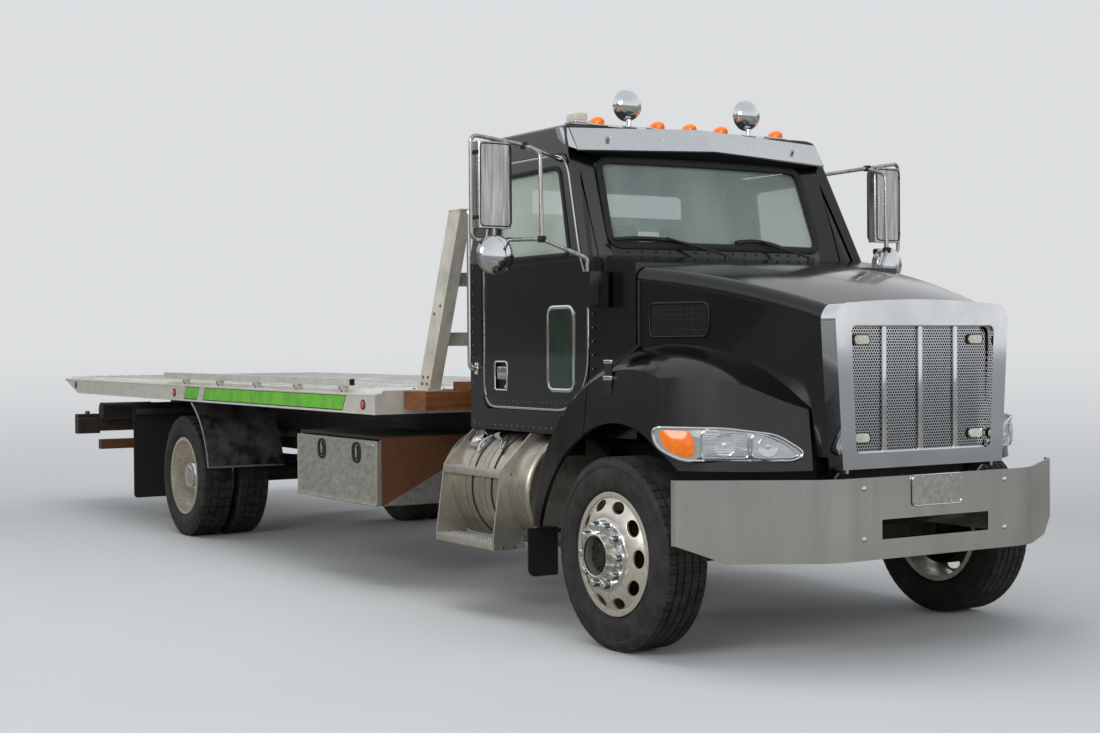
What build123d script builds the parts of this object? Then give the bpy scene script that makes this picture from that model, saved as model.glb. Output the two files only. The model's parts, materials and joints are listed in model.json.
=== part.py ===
from build123d import *
import math
import os

# A rollback tow truck: conventional cab, tilting and sliding flat bed, stowed wheel lift.
# Millimetres. While it is drawn, x = 0 is the front axle, +X is forward, +Y is the truck's
# left and z = 0 is the ground. Right-hand pieces are drawn at -Y and mirrored for the left.

# Wheels and axles
WHEELBASE = 5890
TYRE_R = 464
TYRE_W = 255
TREAD_W = 214
BEAD_SEAT = 0.3
RIM_FLANGE_R = 298
RIM_R = 285
RIM_W = 222
RIM_T = 12
RIM_LIP = 10
FRONT_WHEEL_Y = 1060
REAR_OUTER_Y = 1072
REAR_INNER_Y = 780
LUG_CIRCLE_R = 143
LUG_COUNT = 10
LUG_R = 19
LUG_L = 48
HAND_HOLE_CIRCLE_R = 214
HAND_HOLE_L = 66
HAND_HOLE_W = 46
HUB_R = 84
SPINDLE_R = 38
DRUM_R = 206
KINGPIN_Y = 920
KINGPIN_R = 20
STEER_ARM = 200
PIN_GAP = 0.3
RUN_GAP = 6
SEAT_GAP = 0.3

# Chassis
RAIL_WEB_Y = 430
RAIL_H = 266
RAIL_FLANGE = 89
RAIL_T = 10
RAIL_TOP = 930
RAIL_FRONT_X = 620
RAIL_REAR_X = -7450
MEMBER_X = (590, -1650, -2700, -3900, -5400, -6400, -7300)
MEMBER_T = 60

# Front bumper
BUMPER_X = 965
BUMPER_Z = (480, 855)
BUMPER_FLAT_Y = 630
BUMPER_END = (575, 1216)
BUMPER_T = 8
SLOT_Y = 340
SLOT_Z = (570, 660)
HOOD_PIVOT = (930, 600)
HOOD_PIN_R = 14

# Cab
CAB_Y = 955
CAB_REAR_X = -1744
CAB_SILL_Z = 993
CAB_FLOOR_Z = 1110
COWL_X = -205
COWL_Y = 878
COWL_TOP_Z = 1872
FIREWALL_X = -430
BELT_Z = 1925
ROOF_Z = 2675
ROOF_LEAN_IN = 98
WALL = 45
DOOR_T = 122
GLASS_T = 5
GLASS_INSET = 16
DOOR_GAP = 10
DOOR_HINGE = (-455, 1000)
MIRROR_BOX_Z = (1650, 1830)

# Hood and grille
HOOD_REAR_X = -195
HOOD_FRONT_X = 795
HOOD_WALL = 12
SURROUND_X = (795, 895)
SURROUND_Z = (888, 1666)
SURROUND_Y = (510, 552)
GRILLE_Z = (960, 1545)
GRILLE_Y = (430, 458)
FENDER_Y = 1155
FENDER_TOP_R = 1000
ARCH_R = 620
ARCH_X = -80
WHEEL_Z = TYRE_R
FENDER_SPLIT_X = -350
FENDER_REAR_X = -835
NOSE_BOTTOM_Z = 880
FENDER_BOTTOM_Z = 530

# Tanks, steps and tool boxes
TANK_R = 305
TANK_Y = 800
TANK_Z = 680
TANK_X = (-1850, -890)
STEP_PLATE_X = (-1710, -1080)
STRAP_X = (-1500, -1290)
BOX_X = (-3590, -2410)
BOX_Y = (600, 1200)
BOX_Z = (500, 915)
BOX_WALL = 14
HINGE_R = 7
FLAP_GAP = 691

# Bed
DECK_X = (-8800, -2340)
DECK_Y = 1272
DECK_Z = (1054, 1177)
DECK_FLOOR_Z = 1197
BEAK = 400
RUNNER_Y = (360, 420)
RUNNER_X = (-8000, -2500)
TILT_RAIL_Y = (355, 424)
TILT_RAIL_Z = (RAIL_TOP + SEAT_GAP, 1040)
TILT_RAIL_X = (-8350, -2500)
TILT_PIVOT_Z = 985
TILT_PIN_R = 25
RUB_RAIL_X = (-6070, -2700)
RUB_RAIL_Z = (1197, 1265)
RUB_POSTS = 5
RUB_POST_PITCH = 700
LEG_Y = 950
LEG_BASE_X = -2262
LEG_TOP_Z = 2240
LEG_LEAN = 21
LEG_DEPTH = 140
LEG_W = 76

# Tilt cylinders
BARREL_PIVOT = (-5300, 720)
ROD_EYE = (-4300, 985)
BARREL_Y = 270
BARREL_R = 45
ROD_R = 26

# Wheel lift
LIFT_PIVOT = (-7620, 765)
LIFT_TUBE = 130
LIFT_END_X = -8700
CROSSBAR_X = (-8980, -8860)
CROSSBAR_Y = 1130

ORIGIN_X = (BUMPER_X + CROSSBAR_X[0]) / 2


def block(x, y, z):
    """A box between two corners, each given as a span along x, y and z."""
    size = [abs(s[1] - s[0]) for s in (x, y, z)]
    return Pos(*[(s[0] + s[1]) / 2 for s in (x, y, z)]) * Box(*size)


def prism_y(outline, y0, y1):
    """A closed outline in x and z, solid from y0 to y1."""
    return extrude(Plane.XZ.offset(-y1) * make_face(outline), y1 - y0)


def prism_x(outline, x0, x1):
    """A closed outline in y and z, solid from x0 to x1."""
    return extrude(Plane.YZ.offset(x0) * make_face(outline), x1 - x0)


def prism_z(outline, z0, z1):
    """A closed outline in x and y, solid from z0 to z1."""
    return extrude(Plane.XY.offset(z0) * make_face(outline), z1 - z0)


def round_y(radius, y0, y1, x=0, z=0):
    """A round bar along y."""
    return Pos(x, (y0 + y1) / 2, z) * Rot(90, 0, 0) * Cylinder(radius, abs(y1 - y0))


def round_x(radius, x0, x1, y=0, z=0):
    """A round bar along x."""
    return Pos((x0 + x1) / 2, y, z) * Rot(0, 90, 0) * Cylinder(radius, abs(x1 - x0))


def round_z(radius, z0, z1, x=0, y=0):
    """A round bar upright."""
    return Pos(x, y, (z0 + z1) / 2) * Cylinder(radius, abs(z1 - z0))


def spun(profile, x=0, z=0):
    """A closed profile of (y, radius) points turned about an axle line along y."""
    return Pos(x, 0, z) * revolve(Plane.YZ * make_face(profile), axis=Axis.Y)


def bent_tube(points, diameter, bend):
    """A round tube through the points, each corner bent to the same radius."""
    path = FilletPolyline(*points, radius=bend) if len(points) > 2 else Line(*points)
    return sweep(Plane(origin=path @ 0, z_dir=path % 0) * Circle(diameter / 2), path=path)


def left(shape):
    """The same piece on the truck's left side."""
    return mirror(shape, about=Plane.XZ)


def solids(*shapes):
    """Every solid in the shapes, as one list."""
    found = []
    for shape in shapes:
        found += list(shape.solids())
    return found


def save(node, *shapes):
    """Write one node's solids, moved so that x = 0 is the middle of the truck's length."""
    placed = [Pos(-ORIGIN_X, 0, 0) * solid for solid in solids(*shapes)]
    export_step(placed[0] if len(placed) == 1 else Compound(placed), f"parts/{node}.step")


# Cab: a lower box with a cowl that narrows forward, and a tapering upper part

def cab_side(z):
    """Half the cab's width at a height: upright below the belt, leaning in above it."""
    return CAB_Y - ROOF_LEAN_IN * max(0, z - BELT_Z) / (ROOF_Z - BELT_Z)


def cab_solid(inset):
    """The cab's outer form, pulled in by an inset on every side."""
    side = CAB_Y - inset
    rear = CAB_REAR_X + inset
    front = COWL_X - inset
    plan = Polyline((rear, -side), (-523, -side), (front, -COWL_Y + inset),
                    (front, COWL_Y - inset), (-523, side), (rear, side), close=True)
    lower = prism_z(plan, CAB_SILL_Z + inset, BELT_Z)
    slope = Polyline((rear - 10, 0), (100, 0), (100, COWL_TOP_Z - inset - 20),
                     (COWL_X, COWL_TOP_Z - inset), (-560, BELT_Z - inset),
                     (-620, BELT_Z + 1), (rear - 10, BELT_Z + 1), close=True)
    lower = lower & prism_y(slope, -side, side)
    upper = loft([upper_section(BELT_Z, inset), upper_section(ROOF_Z, inset)])
    crown = ROOF_Z - inset
    wide = CAB_Y + 50
    across = Polyline((-wide, 1800), (wide, 1800), (wide, crown - 205), (side - 100, crown - 45),
                      (side - 270, crown), (-side + 270, crown), (-side + 100, crown - 45),
                      (-wide, crown - 205), close=True)
    along = Polyline((rear - 10, 1800), (0, 1800), (0, crown - 150), (-790 - inset, crown - 145),
                     (-850 - inset, crown - 43), (-1040, crown), (-1600, crown),
                     (rear, crown - 40), (rear - 10, crown - 40), close=True)
    return lower + (upper & prism_x(across, CAB_REAR_X - 10, 0) & prism_y(along, -wide, wide))


def cab_front_depth(y, z=2566):
    """How far behind the front axle the cab's front face stands at a place under the visor."""
    lean = (z - BELT_Z) / (ROOF_Z - BELT_Z)
    return 645 + 260 * lean - 60 * (1 - (y / 715) ** 2) + 2


def upper_section(z, inset):
    """A level section of the upper cab, with its bowed windshield between two set-forward posts."""
    lean = (z - BELT_Z) / (ROOF_Z - BELT_Z)
    side = cab_side(z) - inset
    rear = CAB_REAR_X + inset
    corner_x = -645 - 260 * lean - inset
    post_x = -570 - 325 * lean - inset
    corner_y = 715 - inset
    edges = [Line((rear, -side), (post_x, -side)),
             Line((post_x, -side), (corner_x, -corner_y)),
             ThreePointArc((corner_x, -corner_y), (corner_x + 60, 0), (corner_x, corner_y)),
             Line((corner_x, corner_y), (post_x, side)),
             Line((post_x, side), (rear, side)),
             Line((rear, side), (rear, -side))]
    return Plane.XY.offset(z) * make_face(edges)


# Door and window outlines in x and z
DOOR_OUTLINE = ((-1586, 1120), (-1586, 2470), (-830, 2470), (-596, 1925), (-523, 1770),
                (-523, 1290), (-690, 1120))
WINDOW_OUTLINE = ((-1455, 1930), (-1455, 2395), (-880, 2405), (-690, 1930))
PEEP_OUTLINE = ((-905, 1225), (-905, 1660), (-655, 1660), (-655, 1225))
WINDSHIELD_OUTLINE = ((-712, 1985), (-690, 2450), (690, 2450), (712, 1985))
REAR_WINDOW_OUTLINE = ((-560, 1960), (-560, 2380), (560, 2380), (560, 1960))
CORNER_R = 55


def rounded(points, radius=CORNER_R, grow=0):
    """A closed outline with rounded corners, grown outwards by an amount."""
    wire = FilletPolyline(*points, radius=radius, close=True)
    if not grow:
        return wire
    return offset(make_face(wire), grow).wires()[0]


def cab():
    """The cab shell, the right door with its panes, and the fixed glass, cut from one form."""
    shell = cab_solid(0)
    room = cab_solid(WALL) & block((CAB_REAR_X, FIREWALL_X - WALL), (-1000, 1000), (CAB_FLOOR_Z, 3000))
    bay = block((FIREWALL_X, 0), (-COWL_Y + 12, COWL_Y - 12), (900, COWL_TOP_Z - 60))
    shell = shell - room - bay
    pane = cab_solid(GLASS_INSET) - cab_solid(GLASS_INSET + GLASS_T)
    span = (-CAB_Y - 60, -CAB_Y + DOOR_T)
    window = prism_y(rounded(WINDOW_OUTLINE), *span)
    peep = prism_y(rounded(PEEP_OUTLINE), *span)
    door = (shell & prism_y(rounded(DOOR_OUTLINE), *span)) - window
    door = door - block((-1465, -1333), (-CAB_Y - 10, -CAB_Y + 22), (1216, 1372))
    door_opening = prism_y(rounded(DOOR_OUTLINE, grow=DOOR_GAP), span[0], span[1] + 8)
    opening = prism_x(rounded(WINDSHIELD_OUTLINE), -1000, -400)
    rear_opening = prism_x(rounded(REAR_WINDOW_OUTLINE), CAB_REAR_X - 50, CAB_REAR_X + 100)
    shell = shell - door_opening - left(door_opening) - opening - rear_opening
    box = block((-500, -362), (-1045, -CAB_Y + 20), MIRROR_BOX_Z)
    for x in (-1500, -620):
        box = box + block((x - 60, x + 60), (-RAIL_WEB_Y, -RAIL_WEB_Y + RAIL_FLANGE), (RAIL_TOP, CAB_SILL_Z + 5))
    shell = shell + box + left(box)
    fixed = (pane & opening) + (pane & rear_opening)
    return shell, door, peep, pane & window, pane & peep, fixed


def mirror_assembly():
    """One side mirror: a looped arm, its post, the tall head and the round one below."""
    y0, y1, y2 = DOOR_HINGE[1], 1180, 1470
    hinge_x = DOOR_HINGE[0]
    loop = bent_tube([(-880, -cab_side(2440) + 8, 2440), (-760, -y1, 2490), (-810, -y2, 2535), (-810, -y2, 2005),
                      (-810, -1300, 2005), (-600, -y1, 2000), (hinge_x, -y0, 1900),
                      (hinge_x, -y0, MIRROR_BOX_Z[1] + SEAT_GAP)], 22, 30)
    post = bent_tube([(-760, -y1, 2488), (-610, -y1, 2440), (-600, -y1, 2000)], 22, 40)
    head = block((-845, -765), (-1450, -1250), (2060, 2500))
    head = fillet(head.edges().filter_by(Axis.Z), 28)
    ears = block((-815, -800), (-1475, -1440), (2100, 2130)) + block((-815, -800), (-1475, -1440), (2430, 2460))
    round_head = round_x(100, -800, -765, -1350, 1925)
    stem = round_z(9, 1940, 2065, -790, -1350)
    return loop + post + head + ears + round_head + stem


# Hood, fenders and grille

def hood_section(x, inset):
    """A section across the hood: (half width low, half width high, shoulder, shoulder z, top z)."""
    table = {HOOD_REAR_X: (872, 872, 800, 1852, 1880, 1120),
             300: (690, 690, 632, 1768, 1812, 1000),
             HOOD_FRONT_X: (508, 548, 490, 1640, 1664, 940)}
    low_y, high_y, top_y, shoulder_z, top_z, low_z = table[x]
    low_y, high_y, top_y = low_y - inset, high_y - inset, top_y - inset
    shoulder_z, top_z = shoulder_z - inset, top_z - inset
    if inset:
        low_z -= 60
    bend = 78
    mid = (high_y * 0.72 + top_y * 0.28, shoulder_z - bend * 0.22)
    edges = [Line((-low_y, low_z), (-high_y, shoulder_z - bend)),
             ThreePointArc((-high_y, shoulder_z - bend), (-mid[0], mid[1]), (-top_y, shoulder_z)),
             ThreePointArc((-top_y, shoulder_z), (0, top_z), (top_y, shoulder_z)),
             ThreePointArc((top_y, shoulder_z), (mid[0], mid[1]), (high_y, shoulder_z - bend)),
             Line((high_y, shoulder_z - bend), (low_y, low_z)),
             Line((low_y, low_z), (-low_y, low_z))]
    return Plane.YZ.offset(x) * make_face(edges)


def hood_solid(inset):
    """The hood's middle, from the cowl to the grille."""
    return loft([hood_section(x, inset) for x in (HOOD_REAR_X, 300, HOOD_FRONT_X)])


def fender_band(inset):
    """The right fender's crown, turned about the wheel, out to its arch lip."""
    side = FENDER_Y - inset
    top = FENDER_TOP_R - inset
    profile = [Line((-560, 300), (-560, top)), Line((-560, top), (-800, top)),
               ThreePointArc((-800, top), (-1020 + inset * 0.6, 920 - inset * 0.8), (-side, 730)),
               Line((-side, 730), (-side, 300)), Line((-side, 300), (-560, 300))]
    return spun(profile, 0, WHEEL_Z)


def nose_plan(inset):
    """The right fender's outline seen from above."""
    return [Line((-1100, -450), (-1100, -FENDER_Y + inset)),
            Line((-1100, -FENDER_Y + inset), (260, -FENDER_Y + inset)),
            ThreePointArc((260, -FENDER_Y + inset), (580 - inset, -960 + inset), (790 - inset, -560)),
            Line((790 - inset, -560), (790 - inset, -450)),
            Line((790 - inset, -450), (-1100, -450))]


def fender_solid(inset, floor_z):
    """The right fender, solid from its crown down to a level."""
    plan = extrude(Plane.XY.offset(floor_z) * make_face(nose_plan(inset)), 1600 - floor_z, taper=6)
    return fender_band(inset) & plan & block((-1100, 900), (-1200, -450), (floor_z, 1600))


LAMP_PLANE = Plane(origin=(300, -1130, 0), x_dir=(0.651, 0.759, 0), z_dir=(0.759, -0.651, 0))
LAMP_OUTLINE = ((-20, 1078), (330, 1078), (560, 1045), (690, 965), (650, 928), (160, 928), (20, 990))


def lamp_prism(grow, depth):
    """The headlamp's outline carried through the fender's slanted nose."""
    face = make_face(FilletPolyline(*LAMP_OUTLINE, radius=22, close=True))
    if grow:
        face = offset(face, grow)
    return extrude(LAMP_PLANE.offset(-depth) * face, depth + 300)


def hood():
    """The hood with its fenders, the fixed rear ends of the fenders, and the headlamps."""
    outer = fender_solid(0, NOSE_BOTTOM_Z - 400)
    inner = fender_solid(HOOD_WALL, NOSE_BOTTOM_Z - 500)
    arch = round_y(ARCH_R, -1400, -800, ARCH_X, WHEEL_Z)
    below = block((ARCH_X, 1000), (-1400, -300), (0, NOSE_BOTTOM_Z))
    low_rear = block((-1200, ARCH_X), (-1400, -300), (0, FENDER_BOTTOM_Z))
    outer_fender = outer - arch - below - low_rear
    band = outer_fender - inner
    rear_side = block((-1200, HOOD_REAR_X), (-CAB_Y - DOOR_GAP, 0), (0, 2000))
    split = block((-1200, FENDER_SPLIT_X), (-1400, 0), (0, 2000))
    joint = block((FENDER_SPLIT_X - RUN_GAP, FENDER_SPLIT_X + 1), (-1400, 0), (0, 2000))
    behind = block((-1300, FENDER_REAR_X), (-1400, 0), (0, 2000))
    rear_piece = ((band & split) - rear_side) - joint - behind
    for x in (-640, -545):
        rear_piece = rear_piece + ((outer_fender - rear_side) & block((x, x + 10), (-1300, -900), (900, 1500)))
        rear_piece = rear_piece + block((x, x + 10), (-CAB_Y - DOOR_GAP - 5, -CAB_Y - SEAT_GAP), (1000, 1100))
    front_piece = (band - split) - rear_side
    centre = hood_solid(0)
    inner_centre = hood_solid(HOOD_WALL)
    lamp = (outer - fender_solid(70, NOSE_BOTTOM_Z - 500)) & lamp_prism(0, 120)
    front_piece = front_piece - lamp_prism(SEAT_GAP, 120 + SEAT_GAP)
    lamp_room = lamp_prism(SEAT_GAP, 120 + SEAT_GAP)
    shell = centre - inner_centre - lamp_room - left(lamp_room)
    front_piece = front_piece - inner_centre
    left_piece = left(front_piece)
    return shell + front_piece + left_piece, rear_piece, lamp


def grille_surround():
    """The bright surround: a deep ring with a hollow back."""
    outer = prism_x(surround_outline(0), *SURROUND_X)
    pocket = prism_x(surround_outline(12), SURROUND_X[0] - 1, SURROUND_X[1] - 14)
    band = prism_x(opening_outline(12), SURROUND_X[0] - 2, SURROUND_X[1])
    hole = prism_x(opening_outline(0), SURROUND_X[0] - 2, SURROUND_X[1] + 2)
    return (outer - (pocket - band)) - hole


def surround_outline(inset):
    """The surround's outer outline in y and z."""
    z0, z1 = SURROUND_Z[0] + inset, SURROUND_Z[1] - inset
    y0, y1 = SURROUND_Y[0] - inset, SURROUND_Y[1] - inset
    corner = 90
    return [Line((-y0, z0), (-y1, z1 - corner - 20)),
            ThreePointArc((-y1, z1 - corner - 20), (-y1 + 22, z1 - 42), (-y1 + corner, z1 - 18)),
            ThreePointArc((-y1 + corner, z1 - 18), (0, z1), (y1 - corner, z1 - 18)),
            ThreePointArc((y1 - corner, z1 - 18), (y1 - 22, z1 - 42), (y1, z1 - corner - 20)),
            Line((y1, z1 - corner - 20), (y0, z0)),
            Line((y0, z0), (-y0, z0))]


def opening_outline(grow):
    """The grille opening's outline in y and z."""
    (z0, z1), (y0, y1) = GRILLE_Z, GRILLE_Y
    points = [(-y0, z0), (-y1, z1), (y1, z1), (y0, z0)]
    return rounded(points, 30, grow)


def grille():
    """The mesh panel on its frame, with its three bright bars and the side intake screens."""
    panel = prism_x(opening_outline(-0.5), 838, 846)
    for y in (-230, 0, 230):
        panel = panel + block((846, 862), (y - 8, y + 8), (GRILLE_Z[0] + 3, GRILLE_Z[1] - 3))
    return panel


def arms():
    """The hood's two goose-neck hinge arms."""
    px, pz = HOOD_PIVOT
    outline = Polyline((px, pz - 22), (px, pz + 22), (662, 660), (715, 770), (812, 868),
                       (870, 868), (870, 900), (785, 900), (672, 800), (618, 672), (628, 600),
                       (px - 60, pz - 22), close=True)
    arm = prism_y(outline, -472, -455) + round_y(22, -472, -455, px, pz)
    arm = arm - round_y(HOOD_PIN_R + PIN_GAP, -480, -450, px, pz)
    return arm


# Wheels

def tyre(y):
    """A tyre centred on y, its tread and sidewalls as one closed profile."""
    half, tread = TYRE_W / 2, TREAD_W / 2
    bead = RIM_W / 2 - RIM_LIP - BEAD_SEAT
    bead_r, lip_r = RIM_R + BEAD_SEAT, RIM_FLANGE_R + 4
    profile = [Line((y - bead, bead_r), (y - bead, lip_r)),
               Line((y - bead, lip_r), (y - half, 372)),
               Line((y - half, 372), (y - half + 9, 436)),
               Line((y - half + 9, 436), (y - tread, TYRE_R)),
               Line((y - tread, TYRE_R), (y + tread, TYRE_R)),
               Line((y + tread, TYRE_R), (y + half - 9, 436)),
               Line((y + half - 9, 436), (y + half, 372)),
               Line((y + half, 372), (y + bead, lip_r)),
               Line((y + bead, lip_r), (y + bead, bead_r)),
               Line((y + bead, bead_r), (y - bead, bead_r))]
    return spun(profile, 0, 0)


def rim(y, mount_y):
    """A disc wheel: barrel with two flanges, and a dished disc out to its mounting face."""
    s = 1 if mount_y > y else -1
    half = RIM_W / 2
    inner = RIM_R - RIM_T
    disc_y = y + s * 62
    profile = Polyline((y - half, RIM_FLANGE_R), (y - half + RIM_LIP, RIM_FLANGE_R), (y - half + RIM_LIP, RIM_R),
                       (y + half - RIM_LIP, RIM_R), (y + half - RIM_LIP, RIM_FLANGE_R), (y + half, RIM_FLANGE_R),
                       (y + half, inner), (y - half, inner), close=True)
    disc = Polyline((disc_y, inner + 4), (disc_y + s * 22, inner + 4), (mount_y - s * 4, 176), (mount_y, 168),
                    (mount_y, 60), (mount_y - s * 14, 60), (mount_y - s * 14, 172), close=True)
    wheel = spun(profile) + spun(disc)
    span = sorted((disc_y - s * 45, mount_y + s * 45))
    for index in range(LUG_COUNT):
        angle = 360 / LUG_COUNT * (index + 0.5)
        slot = extrude(Plane.XZ.offset(-span[1]) * Rot(0, 0, angle) * Pos(HAND_HOLE_CIRCLE_R, 0)
                       * Rot(0, 0, 90) * SlotOverall(HAND_HOLE_L, HAND_HOLE_W), span[1] - span[0])
        wheel = wheel - slot
    return wheel


def lugs(mount_y, s):
    """The ring of lug nut covers on a mounting face."""
    ring = []
    for index in range(LUG_COUNT):
        angle = math.radians(360 / LUG_COUNT * index)
        x, z = LUG_CIRCLE_R * math.cos(angle), LUG_CIRCLE_R * math.sin(angle)
        ring.append(round_y(LUG_R, mount_y - s * 2, mount_y + s * LUG_L, x, z))
    return ring


def front_wheel():
    """The right front wheel: disc wheel, drum and hub on one turning body."""
    mount = -FRONT_WHEEL_Y - 150
    wheel = rim(-FRONT_WHEEL_Y, mount)
    hub = round_y(HUB_R, mount - 78, -1030)
    drum = round_y(DRUM_R, -1160, -990) - round_y(DRUM_R - 12, -1148, -980)
    wheel = wheel + lugs(mount, -1) + hub + drum
    return wheel - round_y(SPINDLE_R + PIN_GAP, mount - 20, -1000)


def rear_wheels():
    """The right rear pair: outer and inner wheels back to back on one hub."""
    mount = -926
    hub = round_y(112, -1090, -670) + round_y(92, -1140, -1080)
    wheels = rim(-REAR_OUTER_Y, mount) + rim(-REAR_INNER_Y, mount) + hub + lugs(mount - 14, -1)
    drum = round_y(DRUM_R, -905, -690) - round_y(DRUM_R - 12, -893, -680)
    return (wheels + drum) - round_y(50 + PIN_GAP, -900, -600)


# Build and save, one block for each sub-assembly

os.makedirs("parts", exist_ok=True)

# Chassis frame
channel = Polyline((-RAIL_WEB_Y, RAIL_TOP - RAIL_H), (-RAIL_WEB_Y + RAIL_FLANGE, RAIL_TOP - RAIL_H),
                   (-RAIL_WEB_Y + RAIL_FLANGE, RAIL_TOP - RAIL_H + RAIL_T),
                   (-RAIL_WEB_Y + RAIL_T, RAIL_TOP - RAIL_H + RAIL_T),
                   (-RAIL_WEB_Y + RAIL_T, RAIL_TOP - RAIL_T),
                   (-RAIL_WEB_Y + RAIL_FLANGE, RAIL_TOP - RAIL_T),
                   (-RAIL_WEB_Y + RAIL_FLANGE, RAIL_TOP), (-RAIL_WEB_Y, RAIL_TOP), close=True)
rail = prism_x(channel, RAIL_REAR_X + 12, RAIL_FRONT_X)
frame = rail + left(rail)
for x in MEMBER_X:
    member = block((x - MEMBER_T / 2, x + MEMBER_T / 2), (-RAIL_WEB_Y + 2, RAIL_WEB_Y - 2), (780, 905))
    frame = frame + member
tilt_ear = block((RAIL_REAR_X - 60, RAIL_REAR_X + 220), (-RAIL_WEB_Y - 16, -RAIL_WEB_Y), (800, TILT_PIVOT_Z + 40))
tilt_ear = tilt_ear - round_y(TILT_PIN_R + PIN_GAP, -460, -420, RAIL_REAR_X, TILT_PIVOT_Z)
barrel_pin = round_y(25, -RAIL_WEB_Y + 5, -BARREL_Y + 35, *BARREL_PIVOT)
frame = frame + tilt_ear + left(tilt_ear) + barrel_pin + left(barrel_pin)
save("frame_rails", frame)

# Bumper with its brackets
bumper_plan = [(300, -BUMPER_END[1]), (BUMPER_END[0], -BUMPER_END[1]),
               (BUMPER_X, -BUMPER_FLAT_Y), (BUMPER_X, BUMPER_FLAT_Y), BUMPER_END, (300, BUMPER_END[1])]


def bumper_body(inset):
    """The bumper's plan outline as a solid, pulled in by an inset."""
    points = [(x - inset, y - math.copysign(inset, y)) for x, y in bumper_plan]
    outline = FilletPolyline(*points, radius=[1, 40, 300 - inset, 300 - inset, 40, 1], close=True)
    return prism_z(outline, *BUMPER_Z)


bumper = bumper_body(0) - bumper_body(BUMPER_T)
bumper = bumper - block((200, BUMPER_END[0] - 35), (-1300, 1300), (400, 900))
bumper = bumper - block((900, 1000), (-SLOT_Y, SLOT_Y), SLOT_Z)
corner_cut = Polyline((-1300, 470), (-1000, 470), (-1216, 560), (-1300, 560), close=True)
corner = prism_x(corner_cut, 400, 900)
bumper = bumper - corner - left(corner)
bracket = block((420, BUMPER_X - BUMPER_T + 2), (-RAIL_WEB_Y - 14, -RAIL_WEB_Y), (560, 800))
hood_pin = round_y(HOOD_PIN_R, -476, -RAIL_WEB_Y - 5, *HOOD_PIVOT)
bumper = bumper + bracket + left(bracket) + hood_pin + left(hood_pin)
save("bumper", bumper)

# Radiator and engine
radiator = block((670, 745), (-400, 400), (770, 1500)) + block((RAIL_FRONT_X, 670), (-280, 280), (780, 880))
save("radiator", radiator)
engine = block((-395, 545), (-300, 300), (700, 1440)) + block((-1450, -395), (-200, 200), (620, 950))
engine = engine + block((60, 200), (-RAIL_WEB_Y + RAIL_FLANGE, RAIL_WEB_Y - RAIL_FLANGE), (850, 940))
save("engine_block", engine)

# Axles
beam = block((-45, 45), (-870, 870), (430, 500)) + block((-60, 60), (-470, -380), (430, 512))
beam = beam + block((-60, 60), (380, 470), (430, 512))
for sign in (-1, 1):
    beam = beam + round_z(42, 428, 508, 0, sign * KINGPIN_Y)
    beam = beam + round_z(KINGPIN_R, 362, 572, 0, sign * KINGPIN_Y)
    beam = beam + block((-40, 40), sorted((sign * 860, sign * 900)), (430, 500))
housing = round_y(72, -640, 640, -WHEELBASE, WHEEL_Z) + Pos(-WHEELBASE, 0, WHEEL_Z) * Sphere(195)
housing = housing + round_y(50, -896, 896, -WHEELBASE, WHEEL_Z)
housing = housing + round_x(95, -WHEELBASE, -WHEELBASE + 270, 0, WHEEL_Z + 20)
save("axles", beam, housing)
shaft = bent_tube([(-1450, 0, 720), (-WHEELBASE + 270, 0, WHEEL_Z + 20)], 96, 0)
shaft = shaft & block((-WHEELBASE + 270, -1450), (-100, 100), (400, 900))
save("drive_shaft", shaft)


def leaf_pack(x, half, seat_z, end_z, thick):
    """One leaf spring pack: a shallow bow with its two hangers under the rail."""
    bow = [ThreePointArc((x - half, end_z), (x, seat_z), (x + half, end_z)),
           Line((x + half, end_z), (x + half, end_z + 12)),
           ThreePointArc((x + half, end_z + 12), (x, seat_z + thick), (x - half, end_z + 12)),
           Line((x - half, end_z + 12), (x - half, end_z))]
    pack = prism_y(bow, -RAIL_WEB_Y, -RAIL_WEB_Y + 76)
    for end in (x - half, x + half):
        pack = pack + block((end - 35, end + 35), (-RAIL_WEB_Y, -RAIL_WEB_Y + 76), (end_z - 12, RAIL_TOP - RAIL_H))
    return pack


front_leaf = leaf_pack(0, 600, 512, 620, 62)
rear_leaf = leaf_pack(-WHEELBASE, 640, WHEEL_Z + 72, 628, 70)
save("leaf_springs", front_leaf, left(front_leaf), rear_leaf, left(rear_leaf))

# Steering knuckles and tie rod
lug_z = ((364, 422), (514, 572))
knuckle = block((-70, 70), (-1000, -975), (364, 572)) + round_y(SPINDLE_R, -1215, -995, 0, WHEEL_Z)
for z in lug_z:
    knuckle = knuckle + block((-42, 42), (-980, -KINGPIN_Y), z) + round_z(42, *z, 0, -KINGPIN_Y)
steer_arm = prism_z(Polyline((-30, -965), (30, -965), (30, -900), (-STEER_ARM, -820), (-STEER_ARM - 20, -860),
                             close=True), 388, 412)
knuckle = (knuckle + steer_arm) - round_z(KINGPIN_R + PIN_GAP, 300, 600, 0, -KINGPIN_Y)
save("knuckle_right", knuckle)
save("knuckle_left", left(knuckle))
tie_rod = round_y(17, -845, 845, -STEER_ARM - 2, 388 - 17 - SEAT_GAP)
save("tie_rod", tie_rod)

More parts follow.
